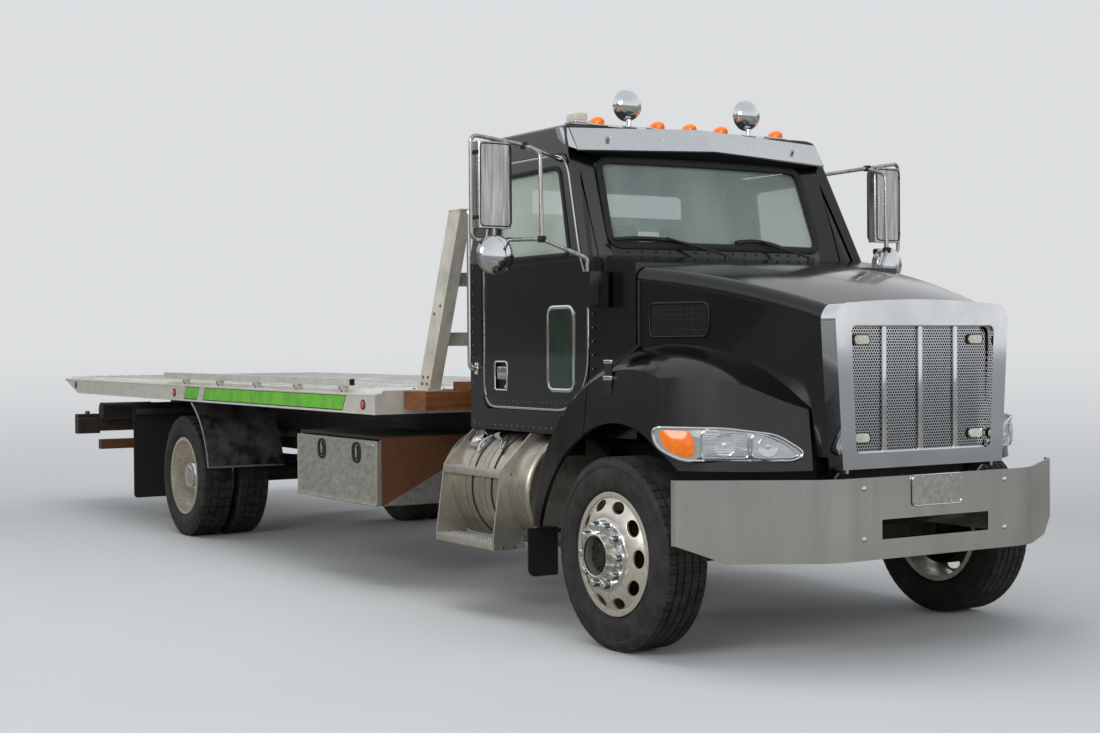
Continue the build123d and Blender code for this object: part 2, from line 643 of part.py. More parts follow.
# Front and rear wheels
front_tyre = Pos(0, 0, WHEEL_Z) * tyre(-FRONT_WHEEL_Y)
front_rim = Pos(0, 0, WHEEL_Z) * front_wheel()
save("front_tyre_right", front_tyre)
save("front_tyre_left", left(front_tyre))
save("front_wheel_right", front_rim)
save("front_wheel_left", left(front_rim))
rear_tyres = [Pos(-WHEELBASE, 0, WHEEL_Z) * tyre(-y) for y in (REAR_OUTER_Y, REAR_INNER_Y)]
rear_rims = Pos(-WHEELBASE, 0, WHEEL_Z) * rear_wheels()
save("rear_tyres_right", *rear_tyres)
save("rear_tyres_left", *[left(t) for t in rear_tyres])
save("rear_wheels_right", rear_rims)
save("rear_wheels_left", left(rear_rims))

# Cab, doors, mirrors and glass
shell, door, peep, door_pane, peep_pane, fixed_panes = cab()
save("cab_shell", shell)
save("cab_glass", fixed_panes)
save("door_right", door - peep)
save("door_left", left(door))
save("door_glass_right", door_pane, peep_pane)
save("door_glass_left", left(door_pane))
side_mirror = mirror_assembly() - cab_solid(-SEAT_GAP)
save("mirror_right", side_mirror)
save("mirror_left", left(side_mirror))

# Sun visor: two folded halves over the windshield
visor_low = ((-690, 0, 2516), (-765, -850, 2488))
visor_top = ((-828, 0, 2648), (-846, -850, 2612))
visor_ends = []
for low, top in zip(visor_low, visor_top):
    ring = [Vector(*low), Vector(*top), Vector(top[0] - 6, top[1], top[2] - 7), Vector(low[0] - 6, low[1], low[2] - 7)]
    visor_ends.append(Face(Wire.make_polygon(ring, close=True)))
visor = loft(visor_ends)
for y in (-300, -640):
    visor = visor + block((-cab_front_depth(y), -768), (y - 10, y + 10), (2560, 2572))
save("sun_visor", (visor + left(visor)) - cab_solid(-SEAT_GAP))

# Roof lamps: five markers, two bright round lamps and a small strobe
roof_slope = math.degrees(math.atan2(43, 190))
lamps = []
for y in (-620, -220, 0, 220, 620):
    on_slope = Pos(-930, y, ROOF_Z - 43 + (930 - 850) * 43 / 190 + SEAT_GAP) * Rot(0, roof_slope, 0)
    lamps.append(on_slope * Pos(0, 0, 22) * Box(100, 82, 44))
for y in (-450, 450):
    on_slope = Pos(-915, y, ROOF_Z - 43 + (915 - 850) * 43 / 190 + SEAT_GAP) * Rot(0, roof_slope, 0)
    foot = on_slope * Pos(0, 0, 5) * Box(60, 60, 10)
    lamps.append(foot + round_z(12, 2654, 2720, -915, y) + round_x(76, -955, -875, y, 2752))
lamps.append(block((-1160, -1050), (-680, -590), (ROOF_Z + SEAT_GAP, ROOF_Z + 62)))
save("roof_lamps", *lamps)

# Inside the cab
dash_x = FIREWALL_X - WALL - SEAT_GAP
dash = prism_y(Polyline((dash_x, 1450), (dash_x, 1840), (-640, 1895), (-770, 1840), (-760, 1700), (-640, 1450),
                        close=True), -890, 890)
wheel_plane = Plane(origin=(-960, 450, 1800), z_dir=(-0.55, 0, 0.835))
shroud = wheel_plane * Pos(0, 0, -150) * Cylinder(42, 160) + block((-870, -700), (430, 470), (1640, 1720))
save("dashboard", dash + shroud - wheel_plane * Pos(0, 0, -150) * Cylinder(24 + PIN_GAP, 200))
steering = wheel_plane * Torus(215, 15)
steering = steering + wheel_plane * Pos(0, 0, -12) * Cylinder(45, 30)
for angle in (0, 120, 240):
    steering = steering + wheel_plane * Rot(0, 0, angle) * Pos(118, 0, -8) * Box(200, 26, 12)
steering = steering + wheel_plane * Pos(0, 0, -105) * Cylinder(24, 170)
save("steering_wheel", steering)


def seat(y0, y1):
    """One cab seat: cushion, upright back and its box base."""
    cushion = fillet(block((-1480, -1000), (y0, y1), (1440, 1560)).edges(), 30)
    back = fillet(block((-1560, -1440), (y0, y1), (1530, 2190)).edges(), 38)
    base = block((-1440, -1060), (y0 + 60, y1 - 60), (CAB_FLOOR_Z, 1450))
    return cushion + back + base


save("seats", seat(-790, 60), seat(190, 720))
handle = bent_tube([(-1670, -CAB_Y - SEAT_GAP, 1330), (-1670, -1002, 1330), (-1670, -1002, 2240),
                    (-1670, -cab_side(2227) - SEAT_GAP, 2240)], 26, 30)
save("grab_handles", handle, left(handle))

# Hood body
hood_shell, fender_rear, lamp = hood()
surround = grille_surround()
save("hood_shell", hood_shell)
arm = arms()
save("grille_surround", surround + arm + left(arm))
save("grille_screen", grille())
save("headlamps", lamp, left(lamp))
save("fender_rears", fender_rear, left(fender_rear))

# Fuel tanks and steps
tank = fillet(round_x(TANK_R, *TANK_X, -TANK_Y, TANK_Z).edges(), 30)
for x in STRAP_X:
    tank = tank + round_x(TANK_R + 5, x - 30, x + 30, -TANK_Y, TANK_Z)
for x in (-1640, -1150):
    tank = tank + block((x - 40, x + 40), (-TANK_Y + 150, -RAIL_WEB_Y), (690, 900))
save("fuel_tanks", tank, left(tank))
plate = Polyline((-850, 988), (-960, 988), (-1150, 800), (-1200, 440), (-1200, 370), (-1000, 370),
                 (-1060, 640), close=True)
steps = block(STEP_PLATE_X, (-1150, -1020), (752, 790)) + block(STEP_PLATE_X, (-1200, -1060), (372, 412))
for x in STEP_PLATE_X:
    steps = steps + prism_x(plate, x - 6, x + 6)
steps = steps - round_x(TANK_R + SEAT_GAP, TANK_X[0] - 50, TANK_X[1] + 50, -TANK_Y, TANK_Z)
for x in STRAP_X:
    steps = steps - round_x(TANK_R + 5 + SEAT_GAP, x - 31, x + 31, -TANK_Y, TANK_Z)
save("tank_steps", steps, left(steps))

# Tool boxes and their drop-down doors
box = block(BOX_X, (-BOX_Y[1], -BOX_Y[0]), BOX_Z)
box = box - block((BOX_X[0] + BOX_WALL, BOX_X[1] - BOX_WALL), (-BOX_Y[1] - 5, -BOX_Y[0] - BOX_WALL),
                  (BOX_Z[0] + BOX_WALL, BOX_Z[1] - BOX_WALL))
for x in (-3400, -2600):
    box = box + block((x - 40, x + 40), (-BOX_Y[0] - 5, -RAIL_WEB_Y), (760, 900))
save("tool_boxes", box, left(box))
box_door = block((BOX_X[0], BOX_X[1]), (-BOX_Y[1] - 26, -BOX_Y[1] - SEAT_GAP), (BOX_Z[0] + 8, BOX_Z[1] - 24))
box_door = box_door + round_x(HINGE_R, BOX_X[0], BOX_X[1], -BOX_Y[1] - 26, BOX_Z[0] + 5)
save("toolbox_door_right", box_door)
save("toolbox_door_left", left(box_door))

# Rear quarter fenders and mud flaps
quarter = []
for radius in (648, 640):
    quarter.append([(-WHEELBASE + radius * math.cos(math.radians(a)),
                     WHEEL_Z + radius * math.sin(math.radians(a))) for a in (9, 36, 63)])
outer, inner = quarter
quarter_outline = [ThreePointArc(*outer), Line(outer[2], inner[2]), ThreePointArc(*inner[::-1]),
                   Line(inner[0], outer[0])]
rear_fender = prism_y(quarter_outline, -1222, -620)
rear_fender = rear_fender + block((-5340, -5290), (-640, -RAIL_WEB_Y), (770, 820))
save("rear_fenders", rear_fender, left(rear_fender))
flap_x = -WHEELBASE - TYRE_R - FLAP_GAP
flap = block((flap_x - 10, flap_x), (-1200, -610), (200, 1000))
flap = flap + block((flap_x, flap_x + 50), (-1180, -RAIL_WEB_Y), (900, 950))
front_flap = block((-862, -854), (-1190, -935), (250, 505)) + round_y(9, -1180, -RAIL_WEB_Y, -870, 480)
front_flap = front_flap + block((-882, -858), (-RAIL_WEB_Y - 10, -RAIL_WEB_Y), (465, 760))
save("mud_flaps", flap, left(flap), front_flap, left(front_flap))

# Tilting frame under the deck
tilt_rail = block(TILT_RAIL_X, (-TILT_RAIL_Y[1], -TILT_RAIL_Y[0]), TILT_RAIL_Z)
drop = block((LIFT_PIVOT[0] - 90, LIFT_PIVOT[0] + 60), (-95, -71), (690, 960))
cross = block((LIFT_PIVOT[0] - 90, LIFT_PIVOT[0] + 60), (-360, 360), (TILT_RAIL_Z[0] + 5, 1030))
lift_pin = round_y(20, -95, 95, *LIFT_PIVOT)
tilt_pin = round_y(TILT_PIN_R, -RAIL_WEB_Y - 22, -TILT_RAIL_Y[0], RAIL_REAR_X, TILT_PIVOT_Z)
guard = block((-8345, -8255), (-TILT_RAIL_Y[1], -TILT_RAIL_Y[0]), (560, 960))
guard = guard + block((-8345, -8265), (-1100, -250), (550, 630))
tilt_frame = tilt_rail + drop + tilt_pin + guard
tilt_frame = tilt_frame + left(tilt_frame) + cross + lift_pin
for x in (-2560, -3700, -5500, -6500, -7250, -8300):
    tilt_frame = tilt_frame + block((x - 40, x + 40), (-360, 360), (TILT_RAIL_Z[0] + 8, 1025))
save("tilt_frame", tilt_frame)

# Tilt cylinders
bx, bz = BARREL_PIVOT
ex, ez = ROD_EYE
lean = math.degrees(math.atan2(ez - bz, ex - bx))
reach = math.hypot(ex - bx, ez - bz)
along = Pos(bx, -BARREL_Y, bz) * Rot(0, -lean, 0)
barrel = along * (round_x(BARREL_R, 20, 800) + round_y(48, -25, 25) - round_y(25 + PIN_GAP, -60, 60)
                  - round_x(ROD_R + PIN_GAP, 60, 810))
rod = along * (round_x(ROD_R, 120, reach - 20) + round_y(42, -20, 20, reach, 0) - round_y(22, -30, 30, reach, 0))
save("tilt_barrels", barrel, left(barrel))
save("tilt_rods", rod, left(rod))

# Deck with its side rails, floor, cross members and runners
side_outline = Polyline((DECK_X[0], DECK_Z[1]), (DECK_X[0] + BEAK, DECK_Z[0]), (DECK_X[1], DECK_Z[0]),
                        (DECK_X[1], DECK_Z[1]), close=True)
deck = prism_y(side_outline, -DECK_Y, -DECK_Y + 70)
deck = deck + left(deck)
floor = block((DECK_X[0] + 60, DECK_X[1]), (-DECK_Y + 40, DECK_Y - 40), (DECK_Z[1] - 32, DECK_FLOOR_Z))
deck = deck + chamfer(floor.edges().filter_by(Axis.X).group_by(Axis.Z)[-1], 18)
runner = block(RUNNER_X, (-RUNNER_Y[1], -RUNNER_Y[0]), (TILT_RAIL_Z[1] + SEAT_GAP, DECK_Z[1] - 30))
deck = deck + runner + left(runner)
for index in range(15):
    x = DECK_X[1] - 200 - index * 420
    deck = deck + block((x - 30, x + 30), (-DECK_Y + 60, DECK_Y - 60), (DECK_Z[0] + 30, DECK_Z[1] - 30))
deck = deck + block((DECK_X[1] - 20, DECK_X[1]), (-DECK_Y, DECK_Y), DECK_Z)
deck = deck + block((DECK_X[0] + BEAK - 20, DECK_X[0] + BEAK), (-DECK_Y + 10, DECK_Y - 10), DECK_Z)
rub = block(RUB_RAIL_X, (-DECK_Y + 2, -DECK_Y + 42), (RUB_RAIL_Z[1] - 46, RUB_RAIL_Z[1]))
for index in range(RUB_POSTS):
    x = -2827 - index * RUB_POST_PITCH
    rub = rub + block((x - 40, x + 40), (-DECK_Y + 6, -DECK_Y + 38), (DECK_Z[1] + SEAT_GAP, RUB_RAIL_Z[1] - 20))
save("deck", deck)
save("rub_rail", rub)

# Headboard: timbers, leaning legs and rails
save("headboard_timbers", block((-2302, -2022), (-1100, 1100), (1084, 1192)),
     block((-2235, -1985), (-800, 800), (1192, 1245)))
run = math.tan(math.radians(LEG_LEAN))
top_x = LEG_BASE_X + (LEG_TOP_Z - 1192) * run
leg = Polyline((LEG_BASE_X - LEG_DEPTH / 2, 1192), (LEG_BASE_X + LEG_DEPTH / 2, 1192),
               (top_x + LEG_DEPTH / 2, LEG_TOP_Z), (top_x - LEG_DEPTH / 2, LEG_TOP_Z), close=True)
headboard = prism_y(leg, -LEG_Y - LEG_W / 2, -LEG_Y + LEG_W / 2)
headboard = headboard + block((DECK_X[1] + SEAT_GAP, -2302 - SEAT_GAP), (-LEG_Y - LEG_W / 2, -LEG_Y + LEG_W / 2),
                              (1100, 1260))
headboard = headboard + left(headboard)
for z in (1500, 1850, 2200):
    x = LEG_BASE_X + (z - 1192) * run
    headboard = headboard + block((x - 25, x + 25), (-LEG_Y, LEG_Y), (z - 40, z + 40))
save("headboard", headboard)

# Winch at the front of the deck
stand = block((-2870, -2430), (-330, 330), (DECK_FLOOR_Z, DECK_FLOOR_Z + 14))
for y in (-300, 280):
    stand = stand + block((-2800, -2500), (y, y + 20), (DECK_FLOOR_Z + 14, DECK_FLOOR_Z + 290))
stand = stand + round_y(95, 300, 420, -2650, 1360) + round_y(60, -420, -300, -2650, 1360)
stand = stand - round_y(26, -301, 301, -2650, 1360)
save("winch_stand", stand)
drum = round_y(62, -262, 262, -2650, 1360) + round_y(120, -272, -258, -2650, 1360)
drum = drum + round_y(120, 258, 272, -2650, 1360) + round_y(25, -296, 296, -2650, 1360)
save("winch_drum", drum)

# Wheel lift: hinged outer tube, and the sliding inner tube with its crossbar
lx, lz = LIFT_PIVOT
half = LIFT_TUBE / 2
boom = block((LIFT_END_X, lx + 60), (-half, half), (lz - half, lz + half))
boom = boom - block((LIFT_END_X - 5, lx - 60), (-half + 10, half - 10), (lz - half + 10, lz + half - 10))
boom = boom - round_y(20 + PIN_GAP, -100, 100, lx, lz)
save("lift_boom", boom)
inner_half = half - 10 - SEAT_GAP
bar = block((CROSSBAR_X[1] - 20, lx - 200), (-inner_half, inner_half), (lz - inner_half, lz + inner_half))
bar = bar + block(CROSSBAR_X, (-CROSSBAR_Y, CROSSBAR_Y), (680, 800))
for y in (-1030, 1030):
    bar = bar + block((CROSSBAR_X[0], CROSSBAR_X[1]), (y - 100, y + 100), (660, 840))
for sign in (-1, 1):
    ends = sorted((sign * 480, sign * 950))
    bar = bar + round_y(78, *ends, -8760, 870)
    bar = bar + block((-8870, -8800), sorted((sign * 560, sign * 640)), (760, 860))
    bar = bar + block((-8870, -8800), sorted((sign * 800, sign * 880)), (760, 860))
save("lift_bar", bar)

# Exhaust: a muffler between the rails and a pipe out to the left side
exhaust = round_x(95, -2600, -1900, 270, 545)
exhaust = exhaust + bent_tube([(-2590, 270, 545), (-4300, 270, 545), (-4300, 1150, 545)], 92, 160)
exhaust = exhaust + bent_tube([(-1910, 270, 545), (-1300, 270, 545), (-700, 270, 600), (-600, 270, 720),
                                (-395 - SEAT_GAP, 270, 720)], 92, 60)
exhaust = exhaust + block((-2300, -2200), (290, 400), (600, RAIL_TOP - RAIL_H - SEAT_GAP))
save("exhaust", exhaust)
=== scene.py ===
"""A rollback tow truck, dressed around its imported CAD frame.

All sizes are in metres in the frame of the CAD model: +X is forward, +Y is the truck's left, z = 0 is
the ground and x = 0 is the middle of the truck's length. Pieces are drawn with x from the front axle and
then moved there. Right-hand ones are worked out at -Y and mirrored where the truck has them on both sides.
"""

from __future__ import annotations

import json
import logging
import math
from collections.abc import Callable
from dataclasses import dataclass, field
from enum import Enum

import bpy
import numpy as np
from mathutils import Matrix, Vector
from mathutils.bvhtree import BVHTree

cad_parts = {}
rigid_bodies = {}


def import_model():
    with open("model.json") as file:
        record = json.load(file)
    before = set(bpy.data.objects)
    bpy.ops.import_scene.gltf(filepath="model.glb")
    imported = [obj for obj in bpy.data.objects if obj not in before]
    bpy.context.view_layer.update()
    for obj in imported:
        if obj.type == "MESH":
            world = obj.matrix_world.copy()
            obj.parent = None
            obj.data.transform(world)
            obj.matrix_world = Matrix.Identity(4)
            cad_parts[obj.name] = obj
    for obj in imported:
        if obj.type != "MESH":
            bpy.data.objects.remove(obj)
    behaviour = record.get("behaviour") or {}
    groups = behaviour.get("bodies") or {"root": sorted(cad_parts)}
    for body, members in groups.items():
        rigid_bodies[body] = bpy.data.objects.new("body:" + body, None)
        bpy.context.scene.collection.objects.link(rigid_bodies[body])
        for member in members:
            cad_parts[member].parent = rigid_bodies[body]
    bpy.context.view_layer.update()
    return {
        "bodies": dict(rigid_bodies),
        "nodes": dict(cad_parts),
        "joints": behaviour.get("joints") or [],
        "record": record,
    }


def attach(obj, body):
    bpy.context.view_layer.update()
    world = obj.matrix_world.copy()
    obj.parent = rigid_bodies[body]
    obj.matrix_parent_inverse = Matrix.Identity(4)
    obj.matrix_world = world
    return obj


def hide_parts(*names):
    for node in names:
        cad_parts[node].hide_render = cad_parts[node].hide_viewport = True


LOG = logging.getLogger("tow_truck")
TAU = 2.0 * math.pi

# Places that many pieces share, from the same sizes as the CAD model
FRONT_AXLE_X = 4.0075
REAR_AXLE_X = FRONT_AXLE_X - 5.89
WHEEL_Z = 0.464
TYRE_R = 0.464
TYRE_W = 0.255
FRONT_HUB = (FRONT_AXLE_X, 0.0, WHEEL_Z)
REAR_HUB = (REAR_AXLE_X, 0.0, WHEEL_Z)
DOOR_Y = -0.955
BED_SIDE_Y = -1.272

SIDES = ("right", "left")
Span = tuple[float, float]
Point = tuple[float, float, float]
Outline = list[tuple[float, float]]


def linear(hex_colour: str) -> tuple[float, float, float, float]:
    """Turn an sRGB hex colour into linear RGBA.

    Args:
        hex_colour: six hex digits, such as "3a3a3c".

    Returns:
        The linear colour with alpha 1: c / 12.92 below 0.04045, else ((c + 0.055) / 1.055) ^ 2.4.
    """
    parts = [int(hex_colour[i:i + 2], 16) / 255.0 for i in (0, 2, 4)]
    values = [c / 12.92 if c <= 0.04045 else ((c + 0.055) / 1.055) ** 2.4 for c in parts]
    return values[0], values[1], values[2], 1.0


# Meshes

@dataclass
class Patch:
    """A piece of surface: points, and faces as quads and triangles with outward order."""

    points: np.ndarray
    quads: np.ndarray = field(default_factory=lambda: np.zeros((0, 4), int))
    tris: np.ndarray = field(default_factory=lambda: np.zeros((0, 3), int))

    def __add__(self, other: Patch) -> Patch:
        """Both patches as one."""
        shift = len(self.points)
        return Patch(np.vstack([self.points, other.points]), np.vstack([self.quads, other.quads + shift]),
                     np.vstack([self.tris, other.tris + shift]))

    def moved(self, x: float = 0.0, y: float = 0.0, z: float = 0.0) -> Patch:
        """The patch shifted."""
        return Patch(self.points + np.array([x, y, z]), self.quads, self.tris)

    def turned(self, matrix: Matrix) -> Patch:
        """The patch carried by a 4 by 4 matrix with no mirroring."""
        m = np.array(matrix)
        return Patch(self.points @ m[:3, :3].T + m[:3, 3], self.quads, self.tris)

    def mirrored(self) -> Patch:
        """The patch on the truck's other side, its faces turned back outwards."""
        return Patch(self.points * np.array([1.0, -1.0, 1.0]), self.quads[:, ::-1], self.tris[:, ::-1])

    def both(self) -> Patch:
        """The patch on both sides."""
        return self + self.mirrored()

    def flipped(self) -> Patch:
        """The patch with its faces turned round."""
        return Patch(self.points, self.quads[:, ::-1], self.tris[:, ::-1])

    def welded(self) -> Patch:
        """The patch with points at the same place made one, and faces that collapse there dropped or halved."""
        cells = np.round(self.points / 4e-6).astype(np.int64)
        _, first, where = np.unique(cells, axis=0, return_index=True, return_inverse=True)
        where = where.reshape(-1)
        quads, tris = where[self.quads], where[self.tris]
        folded = np.stack([quads[:, i] == quads[:, (i + 1) % 4] for i in range(4)], axis=1)
        halves = [np.delete(quads[(folded[:, i]) & (folded.sum(1) == 1)], i, axis=1) for i in range(4)]
        tris = np.vstack([tris] + halves)
        good = (tris[:, 0] != tris[:, 1]) & (tris[:, 1] != tris[:, 2]) & (tris[:, 2] != tris[:, 0])
        return Patch(self.points[first], quads[folded.sum(1) == 0], tris[good])

    def faced_out(self) -> Patch:
        """The patch with the faces of each closed part turned outwards, told by the sign of its volume."""
        tris = np.vstack([self.tris, self.quads[:, [0, 1, 2]], self.quads[:, [0, 2, 3]]])
        label = np.arange(len(self.points))
        pairs = np.vstack([tris[:, [0, 1]], tris[:, [1, 2]]])
        while True:
            low = np.minimum(label[pairs[:, 0]], label[pairs[:, 1]])
            fresh = label.copy()
            np.minimum.at(fresh, pairs[:, 0], low)
            np.minimum.at(fresh, pairs[:, 1], low)
            fresh = fresh[fresh]
            if (fresh == label).all():
                break
            label = fresh
        edges = np.sort(np.vstack([tris[:, [0, 1]], tris[:, [1, 2]], tris[:, [2, 0]]]), axis=1)
        edges, counts = np.unique(edges, axis=0, return_counts=True)
        is_open = np.zeros(len(self.points), bool)
        is_open[label[edges[counts != 2][:, 0]]] = True
        near = self.points - self.points[label]
        volume = np.einsum("ij,ij->i", near[tris[:, 0]], np.cross(near[tris[:, 1]], near[tris[:, 2]]))
        total = np.zeros(len(self.points))
        np.add.at(total, label[tris[:, 0]], volume)
        turn = (total < 0) & ~is_open
        quads, tris = self.quads.copy(), self.tris.copy()
        flip_q, flip_t = turn[label[quads[:, 0]]], turn[label[tris[:, 0]]]
        quads[flip_q], tris[flip_t] = quads[flip_q][:, ::-1], tris[flip_t][:, ::-1]
        return Patch(self.points, quads, tris)


def joined(patches: list[Patch]) -> Patch:
    """Many patches as one."""
    total = patches[0]
    for patch in patches[1:]:
        total = total + patch
    return total


def grid(points: np.ndarray, wrap_u: bool = False, wrap_v: bool = False, cap: bool = False) -> Patch:
    """Faces over a grid of points.

    Args:
        points: an array of shape (u, v, 3); a face's outward side is u crossed with v.
        wrap_u: whether the last row joins the first.
        wrap_v: whether the last column joins the first.
        cap: whether the first and last rows are closed by a fan round their middle.

    Returns:
        The patch, with quads between neighbouring rows and columns.
    """
    nu, nv = points.shape[:2]
    u = np.arange(nu if wrap_u else nu - 1)[:, None]
    v = np.arange(nv if wrap_v else nv - 1)[None, :]
    u1, v1 = (u + 1) % nu, (v + 1) % nv
    quads = np.stack([u * nv + v, u1 * nv + v, u1 * nv + v1, u * nv + v1], axis=-1).reshape(-1, 4)
    flat = points.reshape(-1, 3)
    if not cap:
        return Patch(flat, quads)
    ends = np.array([points[0].mean(0), points[-1].mean(0)])
    i = np.arange(nv if wrap_v else nv - 1)
    j = (i + 1) % nv
    first = np.stack([np.full_like(i, len(flat)), i, j], axis=-1)
    last = np.stack([np.full_like(i, len(flat) + 1), (nu - 1) * nv + j, (nu - 1) * nv + i], axis=-1)
    return Patch(np.vstack([flat, ends]), quads, np.vstack([first, last]))


def turned_profile(profile: Outline | np.ndarray, steps: int = 96, axis: str = "y",
                   centre: Point = (0.0, 0.0, 0.0), closed: bool = False) -> Patch:
    """A profile of (place along the axis, radius) turned about an axis: p(a) = axis * s + r * (cos a, sin a).

    Args:
        profile: rows of (s, r).
        steps: how many steps round.
        axis: "x", "y" or "z".
        centre: a point on the axis, where s is 0.
        closed: whether the profile's last row joins its first.

    Returns:
        The patch; rows of the grid go round and columns follow the profile.
    """
    angles = np.linspace(0, TAU, steps, endpoint=False)
    s, r = np.asarray(profile, float).T[:, None, :]
    a, b = r * np.cos(angles)[:, None], r * np.sin(angles)[:, None]
    along = np.broadcast_to(s, a.shape)
    order = {"x": (along, a, b), "y": (b, along, a), "z": (a, b, along)}[axis]
    return grid(np.stack(order, axis=-1) + np.array(centre), wrap_u=True, wrap_v=closed)


def rounded_box(x: Span, y: Span, z: Span, radius: float, steps: int = 3) -> Patch:
    """A box with rounded edges and corners.

    Each face of a cube is a grid; its points q are cut back to the box shrunk by the radius, and each
    final point is that inner point plus the radius along the direction from it to q.

    Args:
        x, y, z: the box's spans.
        radius: the edge radius.
        steps: how many faces round a corner's quarter.

    Returns:
        The closed patch.
    """
    low = np.array([x[0], y[0], z[0]])
    high = np.array([x[1], y[1], z[1]])
    half = (high - low) / 2
    radius = min(radius, float(half.min()) * 0.999)
    inner = half - radius
    ramp = np.tan(np.linspace(-math.pi / 4, math.pi / 4, 2 * steps + 1))
    total: Patch | None = None
    for k in range(3):
        i, j = (k + 1) % 3, (k + 2) % 3
        for sign in (-1.0, 1.0):
            runs = [np.concatenate([-inner[m] + radius * ramp[:steps + 1], inner[m] + radius * ramp[steps:]])
                    for m in (i, j)]
            gi, gj = np.meshgrid(*runs, indexing="ij")
            q = np.zeros(gi.shape + (3,))
            q[..., i], q[..., j], q[..., k] = gi, gj, sign * half[k]
            core = np.clip(q, -inner, inner)
            way = q - core
            way = way / np.linalg.norm(way, axis=-1, keepdims=True)
            patch = grid(core + radius * way + (low + high) / 2)
            patch = patch if sign > 0 else patch.flipped()
            total = patch if total is None else total + patch
    return total


def block(centre: Point, half: Point, radius: float, steps: int = 3) -> Patch:
    """A box with rounded edges, from its middle and half its sizes."""
    return rounded_box(*((c - h, c + h) for c, h in zip(centre, half)), radius, steps)


def swept(path: np.ndarray, section: Outline | np.ndarray, up: Point = (0, 0, 1), closed: bool = False) -> Patch:
    """A closed section carried along a path.

    At each point the section's first axis is up crossed with the path's direction, and its second is
    the direction crossed with the first.

    Args:
        path: (n, 3) points.
        section: points in the section's own two axes, counter-clockwise.
        up: a direction that the path never follows.
        closed: whether the path is a ring; else its ends are capped.

    Returns:
        The patch.
    """
    if closed:
        ahead = np.roll(path, -1, axis=0) - np.roll(path, 1, axis=0)
    else:
        ahead = np.gradient(path, axis=0)
    ahead = ahead / np.linalg.norm(ahead, axis=1, keepdims=True)
    side = np.cross(np.array(up, float), ahead)
    side = side / np.linalg.norm(side, axis=1, keepdims=True)
    rise = np.cross(ahead, side)
    across, above = np.asarray(section, float).T[:, None, :, None]
    points = path[:, None, :] + side[:, None, :] * across + rise[:, None, :] * above
    return grid(points, wrap_u=closed, wrap_v=True, cap=not closed).flipped()


def strip_section(foot: float, low: float, crown: float, high: float) -> Outline:
    """A flat strip's section, half as wide as its foot at its low edge and as its crown at its high one."""
    return [(-foot, low), (foot, low), (crown, high), (-crown, high)]


def bead(path: np.ndarray, radius: float, steps: int = 8, up: Point = (0, 0, 1), closed: bool = False) -> Patch:
    """A round rod along a path: its section is the radius times (cos a, sin a)."""
    a = np.linspace(0, TAU, steps, endpoint=False)
    return swept(path, radius * np.stack([np.cos(a), np.sin(a)], axis=-1), up, closed)


def rounded_corner(before: np.ndarray, corner: np.ndarray, after: np.ndarray, bend: float,
                   steps: int) -> np.ndarray:
    """A quadratic curve in place of a corner, between tangent points at most half a side away from it."""
    a = corner + (before - corner) * min(0.5, bend / np.linalg.norm(before - corner))
    b = corner + (after - corner) * min(0.5, bend / np.linalg.norm(after - corner))
    t = np.linspace(0, 1, steps)[:, None]
    return (1 - t) ** 2 * a + 2 * t * (1 - t) * corner + t ** 2 * b


def smooth_path(points: list[Point], bend: float, steps: int = 6) -> np.ndarray:
    """Straight runs with rounded corners.

    Args:
        points: the corners, first and last included.
        bend: how far before and after a corner its curve starts.
        steps: points in each curve.

    Returns:
        The path's points.
    """
    p = np.array(points, float)
    curves = [rounded_corner(*corner, bend, steps) for corner in zip(p, p[1:], p[2:])]
    return np.vstack([p[:1], *curves, p[-1:]])


def prism(outline: Outline | np.ndarray, axis: str, low: float, high: float) -> Patch:
    """A flat outline carried straight along an axis, closed by one fan at each end (for outlines seen whole
    from their middle)."""
    flat = np.asarray(outline, float)
    flat = flat[:, ::-1] if axis == "y" else flat
    return grid(np.array([laid(flat, axis, value) for value in (low, high)]), wrap_v=True, cap=True).flipped()


def laid(outline: np.ndarray, axis: str, value: float) -> np.ndarray:
    """A flat outline as points in space, all at one place along an axis."""
    return np.insert(outline, "xyz".index(axis), value, axis=1)


def rounded_outline(corners: Outline, radius: float, steps: int = 5) -> np.ndarray:
    """A closed outline with rounded corners."""
    p = np.array(corners, float)
    return np.vstack([rounded_corner(*corner, radius, steps)
                      for corner in zip(np.roll(p, 1, axis=0), p, np.roll(p, -1, axis=0))])


def rounded_rect(u: Span, v: Span, radius: float, steps: int = 5) -> np.ndarray:
    """A rectangle's outline with rounded corners, from its low corner along u first."""
    return rounded_outline([(u[0], v[0]), (u[1], v[0]), (u[1], v[1]), (u[0], v[1])], radius, steps)


def dense(outline: np.ndarray, step: float) -> np.ndarray:
    """A closed outline with its long runs cut into pieces of about one step."""
    return np.vstack([np.linspace(a, b, max(2, int(np.linalg.norm(b - a) / step) + 1))[:-1]
                      for a, b in zip(outline, np.roll(outline, -1, axis=0))])


